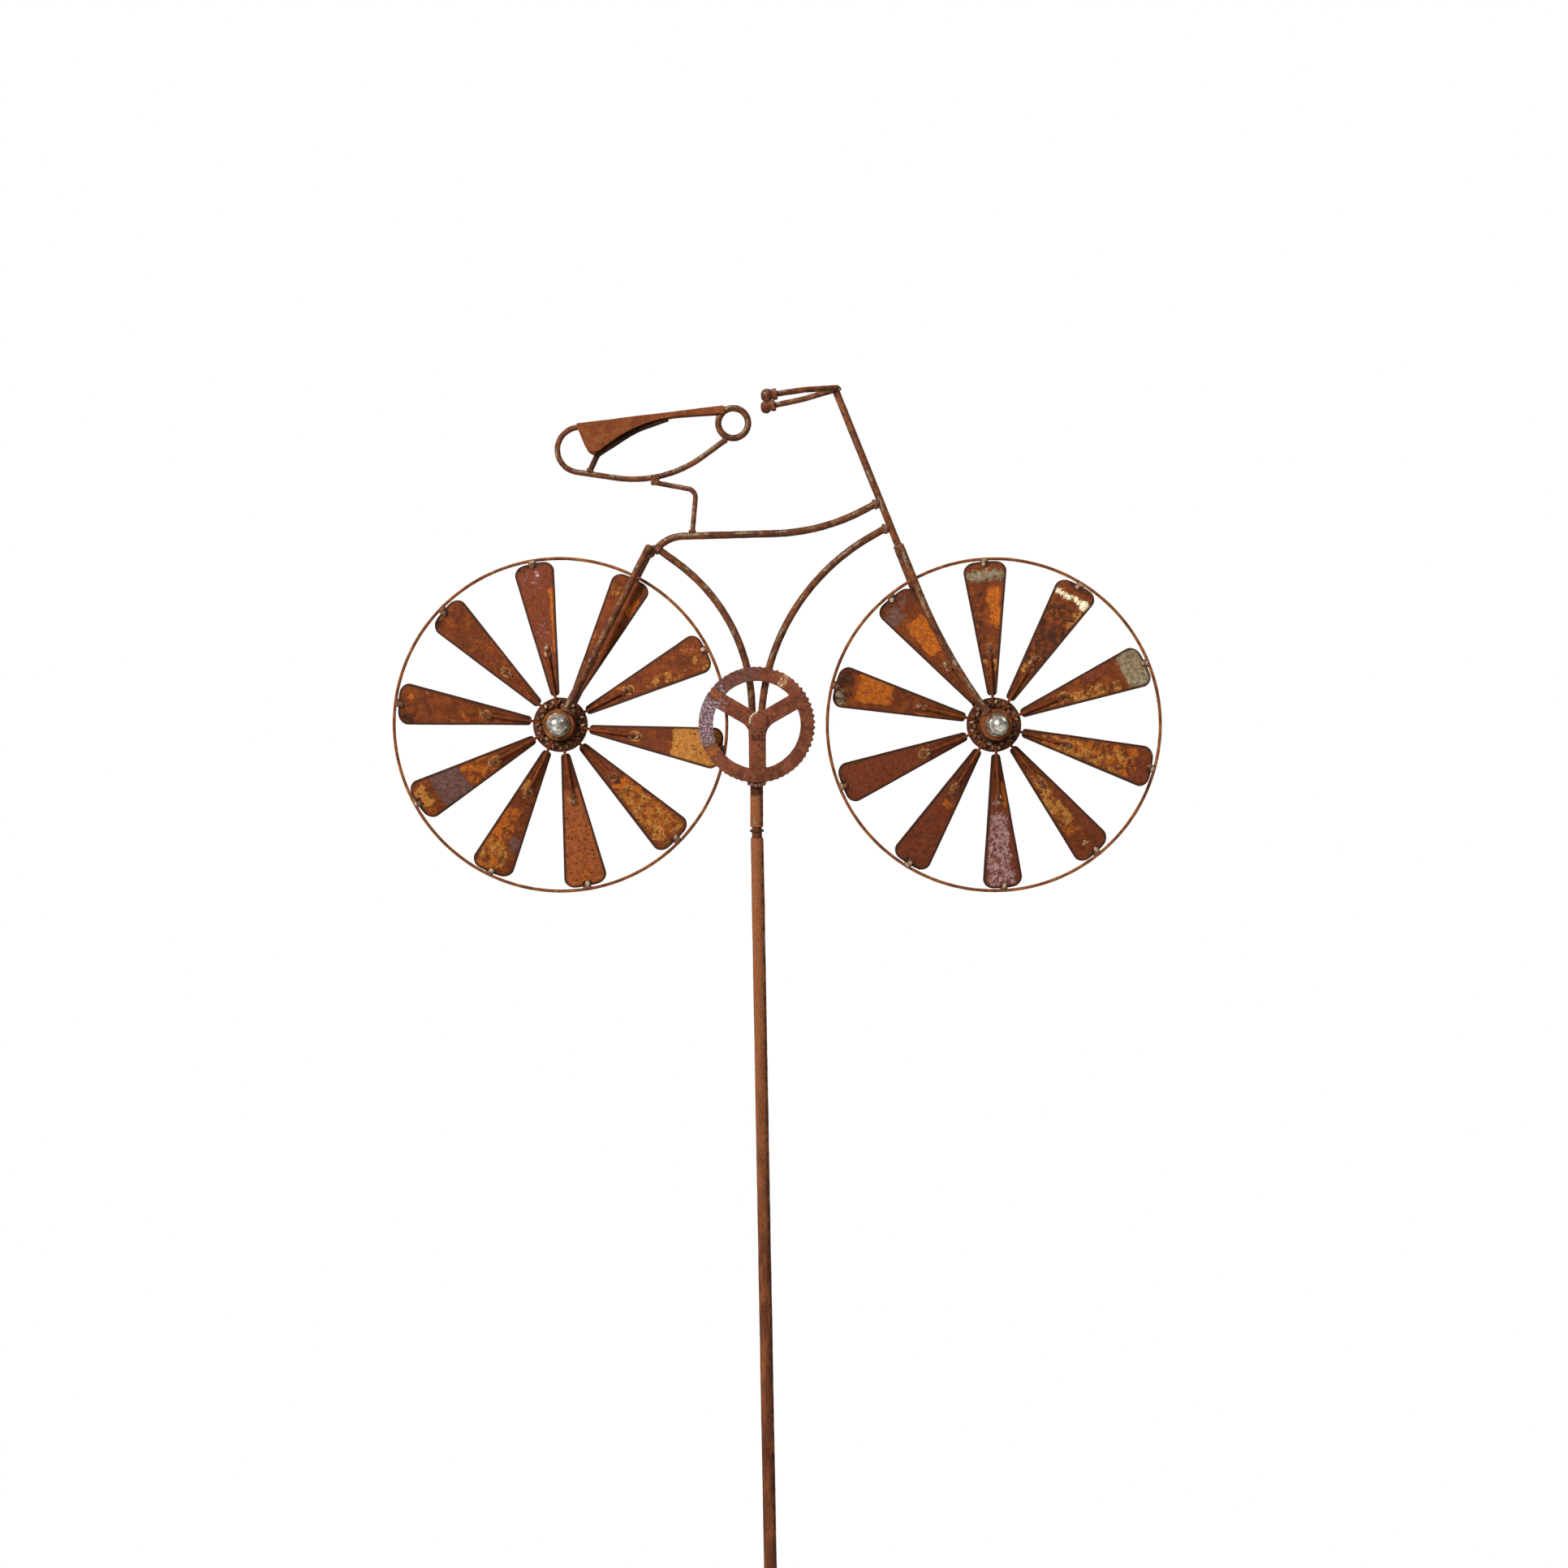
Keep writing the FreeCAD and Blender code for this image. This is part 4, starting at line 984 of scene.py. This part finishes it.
def stake_marks(place, normal):
    """A burnt band under the chainring, pale scale just above the swivel joint, painted shade down the side
    that faces forward, and a painted highlight, paler, down the side that faces back.
    """
    z = (place - BRACKET).dot(UP) / MM
    painted_shade = window(normal.dot(FORWARD), 0.50, 2, 0.4)
    painted_light_side = window(-normal.dot(FORWARD), 0.2, 0.6, 0.3)
    return {
        "dark": max(0.5 * window(z, -53, -44, 3), 0.30 * painted_shade),
        "black": 0.2 * window(z, -51, -45, 3),
        "scale": 0.25 * window(z, -75, -70, 3) + 0.12 * painted_light_side,
    }


weathered("stub_tube", "stake", 1.6, 0.12, 0.0, 1, stake_marks)
weathered("spigot", "rod", 3, 0.08)
weathered("spigot_ring", "burnt", 1.2, 0.15, 0.0, 3)
weathered("stake_tube", "stake", 4, 0.08, 0.15, 1, stake_marks)
weathered("stake_point", "stake", 1.5, 0.10, 0.15)
weathered("stake_stop", "stake", 4, 0.05)


# ---- saddle cover ----

weathered("saddle_cover", "saddle", 2.2, 0.08, 0.22, 2)


# ---- welds of the bicycle ----

# Each function below adds its beads at places in millimetres from the middle of the chainring.
HEAD_LINE = along_bike(48, 0, -119)


def weld_head(welds):
    """The tubes and the crown onto the head tube, and the legs beside the crown and the bridge."""
    for x, z, rise in ((88.2, 164.3, 0.55), (95.4, 146.0, 0.573)):
        tube = along_bike(1, 0, rise)
        welds.ring(on_bike(x, z), tube, 2.7, 2.1, 9, 0.2)
        welds.bead(on_bike(x + 0.6, z + 0.4, -2.5), -ACROSS, tube, 5.8, 4.0, 1.1, 0.3)
        welds.bead(on_bike(x + 0.9, z - 2.6, -1.2), along_bike(0.4, -0.5, -1), tube, 5.0, 3.6, 1.3, 0.1)
    welds.ring(on_bike(105.6, 132.8), HEAD_LINE, 2.9, 2.0, 9, 0.1)
    for side in (-1, 1):
        leg = side * 5.8
        welds.ring(on_bike(107.3, 128.4, leg), ACROSS, 2.5, 1.8, 8, 0.1)
        welds.ring(on_bike(-79.2, 128.2, leg), ACROSS, 2.3, 1.9, 8, 0.1)
        for x, z, lean in ((106.0, 131.8, -0.4), (-79.2, 131.6, 0.5)):
            welds.bead(on_bike(x, z, leg), along_bike(lean, 0, 1), FORWARD, 5.6, 5.6, 1.5, 0.0)


def weld_seat_cluster(welds):
    """The top tube, the seat tube and the tops of the stays."""
    welds.ring(on_bike(-75.0, 130.6), along_bike(12.5, 0, 11.1), 2.8, 2.2, 9, 0.3)
    welds.ring(on_bike(-72.4, 130.0), along_bike(69.4, 0, -50.4), 2.8, 2.2, 9, 0.2)
    welds.bead(on_bike(-74.4, 131.6, -2.7), -ACROSS, along_bike(1, 0, 0.8), 6.0, 4.4, 1.2, 0.3)


def weld_bracket(welds):
    """The seat and down tubes and the chainring's edge onto the stub tube, and the chainring's pin."""
    for x in (-2.95, 2.95):
        welds.ring(on_bike(x, -44), UP, 2.8, 2.1, 8, 0.0)
    for x, z in ((-3.5, -43.6), (-0.8, -44.6), (2.2, -44.3), (4.6, -43.2)):
        welds.bead(on_bike(x, z, -6.4), along_bike(0, -1, -0.6), FORWARD, 4.2, 3.4, 2.2, 0.35)
    # The beads on the pin's upper-left half, where the light comes from, are marked far paler and shinier
    # than the rest: a painted highlight.
    painted_highlight_side = (range(110, 200, 18), 7.0, -9.6, 2.0, 1.3)
    dull_side = (range(215, 330, 20), 6.8, -9.5, 2.2, 0.1)
    for angles, radius, y, width, bright in (painted_highlight_side, dull_side):
        for angle in angles:
            turn = math.radians(angle)
            place = on_bike(2 + radius * math.cos(turn), 2.2 + radius * math.sin(turn), y)
            round_pin = along_bike(-math.sin(turn), 0, math.cos(turn))
            welds.bead(place, -ACROSS, round_pin, 3.6, width, 0.9, bright)


def weld_saddle_and_bar(welds):
    """The seat post, the saddle's lug and rod ends, and the handlebar onto the head tube."""
    welds.ring(on_bike(-47.9, 144.0), UP, 1.9, 1.9, 7, 0.2)
    welds.ring(on_bike(-75.6, 184.6), UP, 2.4, 1.6, 8, 0.1)
    welds.ring(on_bike(-23.9, 211.6), along_bike(0.8, 0, 0.6), 1.7, 1.6, 7, 0.1)
    welds.ring(on_bike(-124.0, 189.2), along_bike(0.4, 0, 0.9), 2.1, 1.7, 7, 0.1)
    welds.ring(on_bike(59.9, 249.2), HEAD_LINE, 2.3, 1.9, 8, 0.1)
    welds.bead(on_bike(60.6, 249.6, -2.4), -ACROSS, HEAD_LINE, 4.2, 3.4, 1.4, 0.5)


def weld_axle_eyes(welds):
    """The fork legs and the stays onto the axle eyes."""
    for side in (-1, 1):
        for hub_x, leg_x, leg_z in ((176.5, 140.0, 46.7), (-146.0, -79.4, 131.5)):
            out = Vector((leg_x - hub_x, leg_z)).normalized()
            place = on_bike(hub_x + out.x * 12.2, out.y * 12.2, side * 11.3)
            welds.ring(place, along_bike(out.x, 0, out.y), 2.7, 2.0, 9, 0.3)


def make_frame_welds():
    """All the bicycle's own welds, as one piece."""
    welds = Welds(21)
    for add_welds in (weld_head, weld_seat_cluster, weld_bracket, weld_saddle_and_bar, weld_axle_eyes):
        add_welds(welds)
    welds.make("frame_welds", "bike", "frame_rust")


make_frame_welds()


# ---- floor, light and camera ----

def make_floor():
    """A wide pale floor that turns into the white of the background far away."""
    mesh = bpy.data.meshes.new("floor")
    size = 30.0
    level = cad_box[0].z - 2 * MM
    corners = ((-size, -size), (size, -size), (size, size), (-size, size))
    mesh.from_pydata([(x, y, level) for x, y in corners], [], [(0, 1, 2, 3)])
    material = bpy.data.materials.new("pale_floor")
    material.use_nodes = True
    nodes, links = material.node_tree.nodes, material.node_tree.links
    paint = nodes["Principled BSDF"]
    paint.inputs["Base Color"].default_value = (0.88, 0.88, 0.87, 1)
    paint.inputs["Roughness"].default_value = 0.9
    seen = nodes.new("ShaderNodeLightPath").outputs["Is Camera Ray"]
    place = nodes.new("ShaderNodeTexCoord")
    length = nodes.new("ShaderNodeVectorMath")
    length.operation = "LENGTH"
    links.new(place.outputs["Object"], length.inputs[0])
    fade = nodes.new("ShaderNodeMapRange")
    links.new(length.outputs["Value"], fade.inputs[0])
    fade.inputs[1].default_value, fade.inputs[2].default_value = 0.12, 0.62
    glow = nodes.new("ShaderNodeEmission")
    blend = nodes.new("ShaderNodeMixShader")
    share = nodes.new("ShaderNodeMath")
    share.operation = "MULTIPLY"
    links.new(fade.outputs[0], share.inputs[0])
    links.new(seen, share.inputs[1])
    links.new(share.outputs[0], blend.inputs[0])
    links.new(paint.outputs[0], blend.inputs[1])
    links.new(glow.outputs[0], blend.inputs[2])
    links.new(blend.outputs[0], nodes["Material Output"].inputs["Surface"])
    mesh.materials.append(material)
    floor = add_object("floor", mesh)


def make_light(name, place, target, size, power):
    """A square lamp at a place, turned to its target, with its size in metres and its power in watts."""
    lamp = bpy.data.lights.new(name, "AREA")
    lamp.size = size
    lamp.energy = power
    holder = add_object(name, lamp)
    holder.location = place
    holder.rotation_euler = (target - holder.location).to_track_quat("-Z", "Y").to_euler()


def make_camera():
    """Looks square at the bicycle's right side from a metre away, level with the hubs."""
    data = bpy.data.cameras.new("camera")
    data.sensor_width = 36.0
    data.lens = 30.85
    data.shift_x, data.shift_y = 0.0223, -0.0378
    camera = add_object("camera", data)
    turn = Matrix((FORWARD, UP, -ACROSS)).transposed().to_4x4()
    camera.matrix_world = Matrix.Translation(on_bike(-5.7, 0, -1000)) @ turn
    bpy.context.scene.camera = camera


def make_sky():
    """A white background that lights the object softly, more from above than from below."""
    sky = bpy.data.worlds.new("studio")
    sky.use_nodes = True
    nodes, links = sky.node_tree.nodes, sky.node_tree.links
    background = nodes["Background"]
    background.inputs["Color"].default_value = (1, 1, 1, 1)
    direction = nodes.new("ShaderNodeSeparateXYZ")
    links.new(nodes.new("ShaderNodeTexCoord").outputs["Generated"], direction.inputs[0])
    dome = nodes.new("ShaderNodeMapRange")
    links.new(direction.outputs["Z"], dome.inputs[0])
    for index, value in enumerate((-0.5, 0.8, 0.06, 0.50), start=1):
        dome.inputs[index].default_value = value
    strength = nodes.new("ShaderNodeMath")
    strength.operation = "MAXIMUM"
    links.new(dome.outputs[0], strength.inputs[0])
    links.new(nodes.new("ShaderNodeLightPath").outputs["Is Camera Ray"], strength.inputs[1])
    links.new(strength.outputs[0], background.inputs["Strength"])
    bpy.context.scene.world = sky


make_floor()
make_sky()
make_light("key", Vector((-1.3, -1.5, 2.1)), Vector((0, 0, 0.8)), 0.6, 82)
make_light("back_light", Vector((1.6, 1.6, 1.9)), Vector((0, 0, 0.8)), 1.0, 36)
make_camera()
bpy.context.scene.view_settings.view_transform = "Standard"
